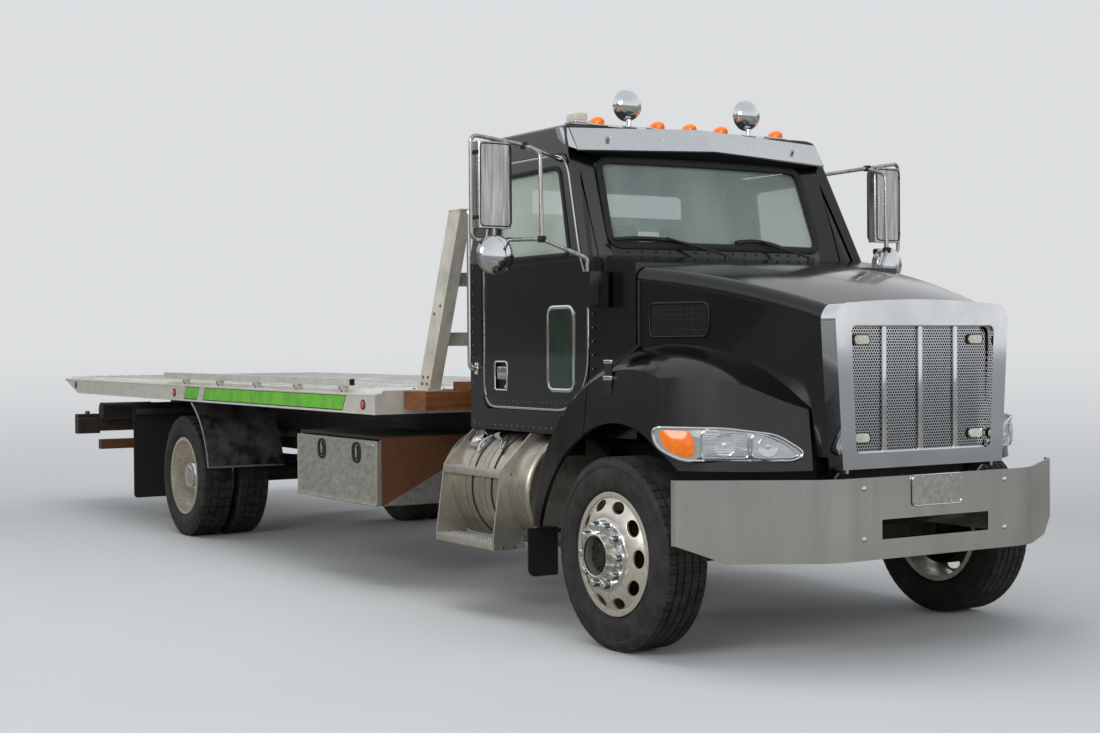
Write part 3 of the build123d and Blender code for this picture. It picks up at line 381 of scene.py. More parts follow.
def make_object(name: str, patch: Patch, material: bpy.types.Material, body: str,
                sharp: float = 35.0) -> bpy.types.Object:
    """A finished mesh object from a patch, on its body and with its finish.

    Args:
        name: the piece's name.
        patch: its surface.
        material: its finish.
        body: the CAD body that it moves with.
        sharp: edges over this angle in degrees stay sharp.

    Returns:
        The object.
    """
    patch = patch.welded().faced_out()
    mesh = bpy.data.meshes.new(name)
    starts_q = np.arange(len(patch.quads)) * 4
    starts_t = len(patch.quads) * 4 + np.arange(len(patch.tris)) * 3
    loops = np.concatenate([patch.quads.reshape(-1), patch.tris.reshape(-1)]).astype(np.int32)
    mesh.vertices.add(len(patch.points))
    mesh.vertices.foreach_set("co", patch.points.astype(np.float32).reshape(-1))
    mesh.loops.add(len(loops))
    mesh.loops.foreach_set("vertex_index", loops)
    mesh.polygons.add(len(patch.quads) + len(patch.tris))
    mesh.polygons.foreach_set("loop_start", np.concatenate([starts_q, starts_t]).astype(np.int32))
    mesh.update(calc_edges=True)
    mesh.validate()
    mesh.polygons.foreach_set("use_smooth", np.ones(len(mesh.polygons), bool))
    mesh.set_sharp_from_angle(angle=math.radians(sharp))
    mesh.materials.append(material)
    obj = bpy.data.objects.new(name, mesh)
    bpy.context.scene.collection.objects.link(obj)
    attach(obj, body)
    LOG.info("%s: %d points", name, len(patch.points))
    return obj


# Finishes

DUST_ROUGHNESS = 0.85


def add_node(tree: bpy.types.NodeTree, kind: str, settings: dict[str, object] | None = None,
             links: dict[str | int, bpy.types.NodeSocket] | None = None) -> bpy.types.Node:
    """Add a node with its settings and links.

    Args:
        tree: the material's or world's node tree.
        kind: the node's type name.
        settings: attributes, or socket values where the key names an input.
        links: input name or index to the output socket it takes.

    Returns:
        The node.
    """
    node = tree.nodes.new(kind)
    for key, value in (settings or {}).items():
        if isinstance(key, str) and hasattr(node, key) and key not in node.inputs:
            setattr(node, key, value)
        else:
            node.inputs[key].default_value = value
    for key, socket in (links or {}).items():
        tree.links.new(socket, node.inputs[key])
    return node


def mixed(tree: bpy.types.NodeTree, factor: bpy.types.NodeSocket, first: str | bpy.types.NodeSocket,
          second: str | bpy.types.NodeSocket) -> bpy.types.NodeSocket:
    """Mix two colours.

    Args:
        tree: the node tree.
        factor: the share of the second one.
        first, second: hex colours, or sockets that give a colour.

    Returns:
        The mixed colour's socket.
    """
    mix = add_node(tree, "ShaderNodeMix", {"data_type": "RGBA"}, {"Factor": factor})
    for index, colour in ((6, first), (7, second)):
        if isinstance(colour, str):
            mix.inputs[index].default_value = linear(colour)
        else:
            tree.links.new(colour, mix.inputs[index])
    return mix.outputs[2]


@dataclass(frozen=True)
class Finish:
    """What a surface is made of, and how it was made and has worn.

    Sizes are in metres; a noise scale is one over the size of what it draws.
    """

    name: str
    colour: str
    second: str
    roughness: float
    roughness_span: float = 0.08
    metallic: float = 0.0
    grain: float = 0.02
    stretch: tuple[float, float, float] = (1.0, 1.0, 1.0)
    contrast: float = 0.18
    bump: float = 0.0
    bump_size: float = 0.004
    coat: float = 0.0
    sheen: float = 0.0
    alpha: float = 1.0
    glow: float = 0.0
    dirt: str = ""
    dirt_amount: float = 0.0
    dirt_top: float = 0.0
    dirt_grain: float = 0.15

    def build(self) -> bpy.types.Material:
        """Make the material: two colours mixed by stretched noise, the same noise in the roughness, a fine
        bump, and road dust that thins out with height."""
        material = bpy.data.materials.new(self.name)
        material.use_nodes = True
        tree = material.node_tree
        shader = tree.nodes["Principled BSDF"]
        place = add_node(tree, "ShaderNodeTexCoord")
        scaled = add_node(tree, "ShaderNodeMapping", {"Scale": self.stretch}, {"Vector": place.outputs["Object"]})
        noise = add_node(tree, "ShaderNodeTexNoise", {"Scale": 1.0 / self.grain, "Detail": 5.0, "Roughness": 0.6},
                         {"Vector": scaled.outputs["Vector"]})
        spread = add_node(tree, "ShaderNodeMapRange",
                          {"From Min": 0.5 - self.contrast, "From Max": 0.5 + self.contrast},
                          {"Value": noise.outputs["Fac"]})
        colour = mixed(tree, spread.outputs["Result"], self.colour, self.second)
        rough = add_node(tree, "ShaderNodeMapRange",
                         {"To Min": self.roughness, "To Max": self.roughness + self.roughness_span},
                         {"Value": spread.outputs["Result"]}).outputs["Result"]
        if self.dirt:
            colour, rough = self.with_dirt(tree, place, colour, rough)
        tree.links.new(colour, shader.inputs["Base Color"])
        tree.links.new(rough, shader.inputs["Roughness"])
        for socket, value in (("Metallic", self.metallic), ("Coat Weight", self.coat), ("Coat Roughness", 0.03),
                              ("Sheen Weight", self.sheen), ("Alpha", self.alpha)):
            shader.inputs[socket].default_value = value
        if self.glow:
            shader.inputs["Emission Color"].default_value = linear(self.colour)
            shader.inputs["Emission Strength"].default_value = self.glow
        if self.bump:
            fine = add_node(tree, "ShaderNodeTexNoise", {"Scale": 1.0 / self.bump_size, "Detail": 3.0},
                            {"Vector": scaled.outputs["Vector"]})
            lifted = add_node(tree, "ShaderNodeBump", {"Strength": self.bump, "Distance": self.bump_size / 4},
                              {"Height": fine.outputs["Fac"]})
            tree.links.new(lifted.outputs["Normal"], shader.inputs["Normal"])
        return material

    def with_dirt(self, tree: bpy.types.NodeTree, place: bpy.types.Node, colour: bpy.types.NodeSocket,
                  rough: bpy.types.NodeSocket) -> tuple[bpy.types.NodeSocket, bpy.types.NodeSocket]:
        """Lay dust or rust over a colour: patchy noise, thick at the ground and gone at the dirt's top.

        Args:
            tree: the material's tree.
            place: its Texture Coordinate node.
            colour: the clean colour.
            rough: the clean roughness.

        Returns:
            The soiled colour and roughness.
        """
        patches = add_node(tree, "ShaderNodeTexNoise",
                           {"Scale": 1.0 / self.dirt_grain, "Detail": 8.0, "Roughness": 0.68},
                           {"Vector": place.outputs["Object"]})
        sharp = add_node(tree, "ShaderNodeMapRange", {"From Min": 0.42, "From Max": 0.66},
                         {"Value": patches.outputs["Fac"]})
        amount = sharp.outputs["Result"]
        if self.dirt_top:
            split = add_node(tree, "ShaderNodeSeparateXYZ", None, {"Vector": place.outputs["Object"]})
            height = add_node(tree, "ShaderNodeMapRange",
                              {"From Min": 0.15, "From Max": self.dirt_top, "To Min": 1.0, "To Max": 0.0},
                              {"Value": split.outputs["Z"]})
            amount = add_node(tree, "ShaderNodeMath", {"operation": "MULTIPLY"},
                              {0: amount, 1: height.outputs["Result"]}).outputs["Value"]
        scaled = add_node(tree, "ShaderNodeMath", {"operation": "MULTIPLY", 1: self.dirt_amount}, {0: amount})
        duller = add_node(tree, "ShaderNodeMix", {"data_type": "FLOAT", "B": DUST_ROUGHNESS},
                          {"Factor": scaled.outputs["Value"], "A": rough})
        return mixed(tree, scaled.outputs["Value"], colour, self.dirt), duller.outputs["Result"]


class Look(Enum):
    """Every finish on the truck, named for what the real one is."""

    # Black two-stage enamel: deep, mirror-like clear coat, a little road dust low down
    ENAMEL = Finish("gloss_black_enamel", "060608", "0a0a0c", 0.14, 0.05, grain=0.4, coat=0.3,
                    dirt="5c5a55", dirt_amount=0.35, dirt_top=1.15, dirt_grain=0.22)
    # Brushed-on chassis black over steel: satin, with dust and small rust blooms
    CHASSIS = Finish("satin_chassis_paint", "161617", "222120", 0.5, 0.2, grain=0.05, bump=0.15,
                     dirt="4f463d", dirt_amount=0.6, dirt_top=1.4, dirt_grain=0.09)
    # Bright nickel-chrome plate
    CHROME = Finish("chrome_plate", "e6e6e6", "d6d7d9", 0.05, 0.05, metallic=1.0, grain=0.3,
                    dirt="8d8b86", dirt_amount=0.3, dirt_top=0.95, dirt_grain=0.12)
    # Chrome-plated bumper sheet with dried water streaks
    BUMPER = Finish("streaked_bumper_chrome", "eceae6", "c9c9c3", 0.08, 0.1, metallic=1.0, grain=0.09,
                    stretch=(1.0, 1.0, 0.12), contrast=0.35, dirt="a5a59d", dirt_amount=0.22, dirt_top=1.1,
                    dirt_grain=0.3)
    # Polished stainless sheet: softer mirror with faint draw lines along x
    STAINLESS = Finish("polished_stainless", "dedfdf", "d6d7d8", 0.13, 0.05, metallic=1.0, grain=0.05,
                       stretch=(0.12, 1.0, 1.0), contrast=0.3)
    # Forged aluminium wheel, machine polished, grey with brake dust in the hollows
    WHEEL = Finish("polished_forged_aluminium", "ece6db", "d2ccc0", 0.26, 0.12, metallic=0.8, grain=0.03,
                   dirt="9a9182", dirt_amount=0.35, dirt_top=1.6, dirt_grain=0.05)
    # Aluminium bed floor, scuffed nearly white
    FLOOR = Finish("scuffed_bed_plate", "dfe0e0", "c4c5c5", 0.5, 0.15, metallic=0.4, grain=0.09,
                   stretch=(0.15, 1.0, 1.0), bump=0.1, dirt="7b766e", dirt_amount=0.4, dirt_grain=0.3)
    # Galvanised box sheet: flat grey with soft spangle and scrapes
    GALVANISED = Finish("galvanised_sheet", "c4c2bb", "9d9b94", 0.34, 0.16, metallic=0.7, grain=0.03,
                        stretch=(0.5, 1.0, 1.0), bump=0.05, dirt="5a5048", dirt_amount=0.45, dirt_top=1.3,
                        dirt_grain=0.12)
    # Brushed stainless mirror shells and tubes
    BRUSHED = Finish("brushed_stainless", "cfcecb", "8b8a88", 0.16, 0.12, metallic=1.0, grain=0.02,
                     stretch=(1.0, 1.0, 0.05), contrast=0.22)
    # Bed side rail: painted-looking aluminium, cream and lightly streaked
    RAIL = Finish("bed_rail_aluminium", "e2dfd6", "cbc8bf", 0.34, 0.16, metallic=0.35, grain=0.06,
                  stretch=(0.25, 1.0, 1.0), contrast=0.25, bump=0.05, dirt="a39e93", dirt_amount=0.3,
                  dirt_grain=0.18)
    # Headboard legs: cream aluminium gone chalky
    CREAM = Finish("chalky_cream_aluminium", "e3dfd3", "c6c1b4", 0.5, 0.15, metallic=0.2, grain=0.05,
                   stretch=(1.0, 1.0, 0.3), contrast=0.28, bump=0.08, dirt="8b8477", dirt_amount=0.4,
                   dirt_grain=0.12)
    # Polished tank aluminium, dulled to a warm cream
    TANK = Finish("polished_tank_aluminium", "cdc6bb", "aaa397", 0.2, 0.12, metallic=0.95, grain=0.05,
                  stretch=(1.0, 0.3, 0.3), contrast=0.3, dirt="8d8272", dirt_amount=0.35, dirt_grain=0.1)
    # Bright plain sheet on steps and box edges
    BRIGHT_SHEET = Finish("bright_aluminium_sheet", "d3cec3", "b9b4aa", 0.3, 0.12, metallic=0.8, grain=0.04,
                          dirt="7d766b", dirt_amount=0.22, dirt_grain=0.1)
    # Zinc-plated bolts and wire rope
    HARDWARE = Finish("zinc_plated_steel", "8f8d88", "6b6862", 0.4, 0.2, metallic=0.85, grain=0.01,
                      dirt="5a4636", dirt_amount=0.45, dirt_grain=0.03)
    # Glossy black moulded quarter fender with dust
    FENDER = Finish("black_moulded_fender", "121213", "1c1c1c", 0.25, 0.15, grain=0.08, coat=0.35,
                    dirt="6f6d68", dirt_amount=0.5, dirt_grain=0.16)
    # Red-orange acrylic marker
    MARKER = Finish("marker_acrylic", "c8340f", "e0541a", 0.12, 0.05, grain=0.01, coat=0.5, glow=0.08)
    # Rusted plate
    RUST = Finish("rusted_steel", "6a3d22", "2f2119", 0.75, 0.15, grain=0.05, contrast=0.22, bump=0.35,
                  bump_size=0.006, dirt="8c5a30", dirt_amount=0.5, dirt_grain=0.05)
    # Worn black paint on the bed's working steel
    WORN_STEEL = Finish("worn_black_steel", "1c1b1b", "2c2927", 0.5, 0.25, grain=0.06, bump=0.2,
                        dirt="5a3c28", dirt_amount=0.5, dirt_grain=0.08)
    # Hard chrome cylinder rod
    ROD = Finish("hard_chrome_rod", "b9bbbe", "a8aaae", 0.12, 0.08, metallic=1.0, grain=0.05)
    # Carbon-black tread rubber with pale road dust
    TYRE = Finish("tyre_rubber", "131313", "1b1b1b", 0.6, 0.16, grain=0.05, bump=0.12, bump_size=0.003,
                  dirt="5b5853", dirt_amount=0.24, dirt_grain=0.09)
    # Moulded rubber seals and flaps
    RUBBER = Finish("moulded_rubber", "121212", "1b1b1b", 0.6, 0.15, grain=0.02, bump=0.1)
    # Cast iron and steel under the hood
    CAST = Finish("cast_iron", "3a3936", "2a2927", 0.65, 0.2, metallic=0.3, grain=0.03, bump=0.3,
                  dirt="4a3324", dirt_amount=0.5, dirt_grain=0.06)
    # Laminated cab glass, faintly green; its pale colour and soft vertical streaks are painted sky reflection
    GLASS = Finish("laminated_glass_painted_reflection", "c6d3ce", "97aaa6", 0.02, 0.0, grain=0.35, stretch=(1.0, 1.0, 0.12),
                   contrast=0.25, alpha=0.3)
    # Door glass whose pale colour is painted sky reflection, and the dark tinted low window
    DOOR_GLASS = Finish("door_glass_painted_reflection", "d2e0d3", "d2e0d3", 0.02, 0.0, grain=0.5, alpha=0.42)
    TINTED = Finish("dark_tinted_glass", "16261f", "20342b", 0.04, 0.03, grain=0.15, coat=0.3)
    # Clear polycarbonate lamp lens
    LENS = Finish("clear_lens", "e6eaec", "e6eaec", 0.04, 0.0, grain=0.5, alpha=0.3)
    # Amber acrylic lens
    AMBER = Finish("amber_acrylic", "f0690e", "ff8a1c", 0.12, 0.05, grain=0.02, coat=0.5, glow=0.12)
    # Red acrylic lens
    RED = Finish("red_acrylic", "a30f0c", "c3201a", 0.15, 0.05, grain=0.02, coat=0.5, glow=0.05)
    # Silvered mirror glass
    MIRROR = Finish("silvered_glass", "c9ced1", "c9ced1", 0.02, 0.0, metallic=1.0, grain=0.5)
    # Grained black ABS
    BLACK_PLASTIC = Finish("grained_black_abs", "151516", "1c1c1d", 0.55, 0.1, grain=0.01, bump=0.12,
                           bump_size=0.0016)
    # Grained grey ABS of the dash
    GREY_PLASTIC = Finish("grained_grey_abs", "4b4b4c", "414142", 0.6, 0.1, grain=0.01, bump=0.12,
                          bump_size=0.0016)
    # Woven grey seat cloth
    SEAT_CLOTH = Finish("woven_seat_cloth", "6a6b6d", "4d4e50", 0.9, 0.05, grain=0.004, sheen=0.3, bump=0.3,
                        bump_size=0.002)
    # Rough-sawn hardwood, weathered orange brown
    TIMBER = Finish("weathered_oak", "9a5a2c", "5f351a", 0.8, 0.1, grain=0.018, stretch=(1.0, 0.06, 1.0),
                    contrast=0.25, bump=0.4, bump_size=0.01, dirt="3b2616", dirt_amount=0.4, dirt_grain=0.07)
    # Greasy cast hub, deep in the wheel
    HUB = Finish("greasy_hub_casting", "2b2a28", "171615", 0.5, 0.2, metallic=0.5, grain=0.02, bump=0.15,
                 dirt="4a3a2c", dirt_amount=0.4, dirt_grain=0.03)
    # Matt black: painted shade behind the grille and intake screens, in the chain slots and open tube ends and
    # under the visor; also the black latch dishes and the band's shadow line
    DARK = Finish("matt_black_paint_and_painted_shade", "0b0b0b", "101010", 0.8, 0.1, grain=0.05)
    # Frosted clear lamp lens with light behind it
    FROSTED = Finish("frosted_lens", "dfe0d2", "c9cbb8", 0.25, 0.1, grain=0.01, coat=0.4)
    # Bright vacuum-metallised reflector
    LAMP_BOWL = Finish("metallised_reflector", "eceeef", "c9ccd0", 0.1, 0.1, metallic=1.0, grain=0.02,
                       contrast=0.4, glow=0.06)
    # Pale grey foam-backed headliner cloth
    HEADLINER = Finish("grey_headliner", "9b9d9e", "8b8d8f", 0.9, 0.05, grain=0.006, sheen=0.2, bump=0.15,
                       bump_size=0.002)
    # Blank painted plate
    PLATE = Finish("blank_pressed_plate", "c2c3be", "a6a7a1", 0.25, 0.15, metallic=0.75, grain=0.03,
                   dirt="807d75", dirt_amount=0.45, dirt_grain=0.04)
    # Green vinyl film
    GREEN_FILM = Finish("green_vinyl_film", "6ecb1e", "62b81b", 0.35, 0.1, grain=0.2, coat=0.2,
                        dirt="5d6a4a", dirt_amount=0.3, dirt_grain=0.1)


class Paintbox:
    """Makes each finish once, when it is first asked for."""

    def __init__(self) -> None:
        """Start with nothing made."""
        self.made: dict[str, bpy.types.Material] = {}

    def __getitem__(self, look: Look) -> bpy.types.Material:
        """The material of a finish."""
        if look.name not in self.made:
            self.made[look.name] = look.value.build()
        return self.made[look.name]


Row = tuple[str, list[Patch], Look, str]


@dataclass
class Fittings:
    """What each group of pieces shares: the finishes, and the ways to make pieces from patches."""

    paints: Paintbox

    def add(self, name: str, patches: list[Patch], look: Look, body: str, slot: str, sharp: float = 35.0,
            at: Point = (FRONT_AXLE_X, 0.0, 0.0)) -> bpy.types.Object:
        """Make one piece from patches, by default drawn with x from the front axle."""
        return make_object(name, joined(patches).moved(*at), self.paints[look], body, sharp)

    def add_both(self, name: str, patches: list[Patch], look: Look, body: str, slot: str) -> bpy.types.Object:
        """Make one piece from right-hand patches and their mirror images."""
        return self.add(name, [joined(patches).both()], look, body, slot)

    def add_rows(self, body: str, rows: tuple[Row, ...], both: bool = False, node: str = "") -> None:
        """Make several pieces on one body.

        Args:
            body: the body's name.
            rows: each piece's name, its patches, its look and its slot.
            both: whether their mirror images belong to them.
            node: the CAD node that the pieces stand for, or nothing.
        """
        for name, patches, look, slot in rows:
            obj = (self.add_both if both else self.add)(name, patches, look, body, slot)
            if node:
                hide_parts(node)

    def add_pairs(self, body: str, rows: tuple[Row, ...], sharp: float = 35.0,
                  at: Point = (FRONT_AXLE_X, 0.0, 0.0), node: str = "") -> None:
        """Make right-hand pieces and their mirror images, each side's on its own body.

        Args:
            body: the body's name, with {} where the side goes.
            rows: each piece's name, its patches, its look and its slot.
            sharp: edges over this angle in degrees stay sharp.
            at: where the patches' origin goes.
            node: the CAD node that the pieces stand for, with {} where the side goes, or nothing.
        """
        for side in SIDES:
            for name, patches, look, slot in rows:
                sided = [p.mirrored() if side == "left" else p for p in patches]
                obj = self.add(f"{name}_{side}", sided, look, body.format(side), slot, sharp, at)
                if node:
                    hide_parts(node.format(side))


# Wheels and tyres

def tyre_profile(half: float, tread: float) -> np.ndarray:
    """One tyre's outer surface from bead to bead as (offset across, radius), its sidewalls gently crowned.

    Args:
        half: half the tyre's width.
        tread: half the tread's width.

    Returns:
        The rows, from the +y bead over the tread to the -y bead.
    """
    side = [(half - 0.0275, 0.3005), (half - 0.021, 0.3065), (half - 0.0165, 0.312), (half - 0.0125, 0.3135),
            (half - 0.0105, 0.32), (half - 0.006, 0.334), (half - 0.0022, 0.352), (half - 0.0003, 0.371),
            (half - 0.0012, 0.39), (half - 0.0042, 0.407), (half - 0.006, 0.4125), (half - 0.0042, 0.4155),
            (half - 0.0052, 0.4265), (half - 0.0092, 0.4365), (half - 0.0135, 0.446)]
    return np.array(side + [(tread, 0.4545)] + [(-tread, 0.4545)] + [(-a, r) for a, r in reversed(side)])


@dataclass(frozen=True)
class Tread:
    """A tread pattern of rows of rubber blocks standing on the casing.

    Args:
        rows: each row's low edge, high edge, count of blocks, slant and share of the pitch that is rubber.
        depth: how far the blocks stand over the casing.
        top: the tyre's outer radius.
    """

    rows: tuple[tuple[float, float, int, float, float], ...]
    depth: float = 0.0095
    top: float = 0.4638

    def patch(self, y: float) -> Patch:
        """Every block of the pattern, for a tyre whose middle is at y and whose axle is at the origin."""
        total = []
        for low, high, count, slant, share in self.rows:
            columns = 4 if share < 1 else 2
            for index in range(count):
                start = TAU * index / count
                span = TAU / count * share
                total.append(self.block(y, low, high, start, span, slant, columns))
        return joined(total)

    def block(self, y: float, low: float, high: float, start: float, span: float, slant: float,
              columns: int) -> Patch:
        """One closed block: a zigzag plan on the tread, its lower edge flared by a millimetre."""
        a = np.linspace(0, 1, columns)
        across = np.linspace(0, 1, 3)
        grid_a, grid_s = np.meshgrid(a, across, indexing="ij")
        kink = slant * (0.5 - np.abs(grid_s - 0.5))
        angle = start + span * grid_a + kink
        place = low + (high - low) * grid_s
        layers = []
        for radius, grow in ((self.top - self.depth - 0.002, 0.0012), (self.top, 0.0)):
            s = place + grow * np.sign(grid_s - 0.5)
            t = angle + grow / 0.46 * np.sign(grid_a - 0.5)
            layers.append(np.stack([radius * np.cos(t), s + y, radius * np.sin(t)], axis=-1))
        bottom, crown = layers
        cover = grid(crown).flipped()
        rim_low = np.concatenate([bottom[:, 0], bottom[-1, 1:], bottom[-2::-1, -1], bottom[0, -2:0:-1]])
        rim_high = np.concatenate([crown[:, 0], crown[-1, 1:], crown[-2::-1, -1], crown[0, -2:0:-1]])
        wall = grid(np.array([rim_low, rim_high]), wrap_v=True)
        return cover + wall + grid(bottom)


RIB_TREAD = Tread(((-0.106, -0.068, 64, 0.0, 0.9), (-0.06, -0.026, 64, 0.012, 0.94),
                   (-0.018, 0.018, 64, 0.012, 0.94), (0.026, 0.06, 64, 0.012, 0.94),
                   (0.068, 0.106, 64, 0.0, 0.9)))
LUG_TREAD = Tread(((-0.106, -0.06, 40, 0.016, 0.72), (-0.052, -0.004, 40, 0.045, 0.74),
                   (0.004, 0.052, 40, -0.045, 0.74), (0.06, 0.106, 40, 0.016, 0.72)), 0.014)


@dataclass
class Tyres(Fittings):
    """The six tyres: crowned casings, tread blocks and a few moulded rings on the sidewalls."""

    def casing(self, y: float, depth: float) -> Patch:
        """A closed casing, its tread floor sunk below the blocks."""
        profile = tyre_profile(TYRE_W / 2, 0.107)
        sunk = profile[:, 1] > 0.45
        profile[sunk, 1] = TYRE_R - 0.0002 - depth
        inner = np.array([(-0.1, 0.2995), (0.1, 0.2995)])
        ring = np.vstack([profile, inner])
        ring[:, 0] += y
        return turned_profile(ring, 144, closed=True)

    def build(self) -> None:
        """Make each tyre in place of its plain CAD solid."""
        for side, sign in zip(SIDES, (-1.0, 1.0)):
            for name, node, body, hub, places, tread in (
                    ("tyre_front", "front_tyre", "front_wheel", FRONT_HUB, (1.06,), RIB_TREAD),
                    ("tyres_rear", "rear_tyres", "rear_wheels", REAR_HUB, (1.072, 0.78), LUG_TREAD)):
                patches = [self.casing(sign * y, tread.depth) + tread.patch(sign * y) for y in places]
                obj = self.add(f"{name}_{side}", patches, Look.TYRE, f"{body}_{side}_body", "tyre", 40, at=hub)
                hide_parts(f"{node}_{side}")


@dataclass
class FrontWheels(Fittings):
    """The front disc wheels: rolled barrel, a dished disc with ten oval hand holes, an open collar, hub and drum.

    The right one is drawn with its axle at x = z = 0 and mirrored for the left.
    """

    mount: float = -1.21
    holes: int = 10
    hole_r: float = 0.2385
    hole_half: tuple[float, float] = (0.044, 0.0265)
    edge_r: tuple[float, float] = (0.196, 0.277)

    def face(self, r: np.ndarray) -> np.ndarray:
        """The disc's front face: -1.207 + 0.047 t^1.7, with t the share of the way out from r = 0.174."""
        return self.mount + 0.003 + 0.047 * np.clip((r - 0.174) / 0.103, 0, 1) ** 1.7

    def sector(self, index: int) -> Patch:
        """One tenth of the disc, a closed loop of surface through its hand hole.

        Each border point of the sector has its partner on the oval, in the same direction from the hole's middle.
        """
        half = math.pi / self.holes
        low, high = (r - self.hole_r for r in self.edge_r)
        wide = half * self.hole_r
        run = np.linspace(-1, 1, 9)
        u = np.concatenate([wide * run[:-1], np.full(8, wide), -wide * run[:-1], np.full(8, -wide)])
        rise = low + (high - low) * (run + 1) / 2
        v = np.concatenate([np.full(8, low), rise[:-1], np.full(8, high), rise[::-1][:-1]])
        size = np.hypot(u / self.hole_half[0], v / self.hole_half[1])
        oval_u, oval_v = u / size, v / size
        rows = []
        for share, back in ((0.0, 0.0), (0.55, 0.0), (0.93, 0.0), (0.985, 0.0006), (1.0, 0.0022), (1.0, 0.0118),
                            (0.97, 0.014), (0.0, 0.014)):
            a = (u + (oval_u - u) * share) / self.hole_r + half + 2 * half * index
            r = self.hole_r + v + (oval_v - v) * share
            y = self.face(r) + back
            rows.append(np.stack([r * np.sin(a), y, r * np.cos(a)], axis=-1))
        return grid(np.array(rows), wrap_v=True)

    def build(self) -> None:
        """Make both wheels in place of the plainer CAD ones."""
        steps = 8 * self.holes
        m = self.mount
        r = np.linspace(self.edge_r[0], 0.174, 5)
        front = np.stack([self.face(r), r], axis=-1)
        inner = np.vstack([front, [(m, 0.168), (m, 0.0965), (m + 0.014, 0.0965), (m + 0.014, 0.172)],
                           [(self.face(np.array(self.edge_r[0])) + 0.014, self.edge_r[0])]])
        rim = self.face(np.array(self.edge_r[1]))
        closing = np.array([(rim + 0.014, self.edge_r[1]), (rim, self.edge_r[1])])
        disc = joined([self.sector(k) for k in range(self.holes)])
        disc = disc + turned_profile(inner, steps) + turned_profile(closing, steps)
        barrel = [(-1.1705, 0.273), (-1.1715, 0.29), (-1.17, 0.2965), (-1.1665, 0.2985), (-1.163, 0.2975),
                  (-1.1612, 0.295), (-1.1605, 0.285), (-0.9595, 0.285), (-0.959, 0.298), (-0.949, 0.298),
                  (-0.949, 0.273), (-1.15, 0.2725)]
        collar = [(m + 0.002, 0.0965), (m - 0.056, 0.0965), (m - 0.056, 0.101), (m + 0.002, 0.101)]
        wheel = disc + joined([turned_profile(p, 96, closed=True) for p in (barrel, collar)])
        drum = [(-1.16, 0.08), (-1.16, 0.206), (-0.99, 0.206), (-0.99, 0.194), (-1.148, 0.194), (-1.148, 0.08)]
        hub = [(m - 0.014, 0.0383), (m - 0.014, 0.084), (-1.03, 0.084), (-1.03, 0.0383)]
        back = joined([turned_profile(p, 64, closed=True) for p in (drum, hub)])
        self.add_pairs("front_wheel_{}_body", (("front_disc_wheel", [wheel], Look.WHEEL, "wheel_polished"),
                                               ("front_drum", [back], Look.HUB, "cast_grey")),
                       40, FRONT_HUB, "front_wheel_{}")


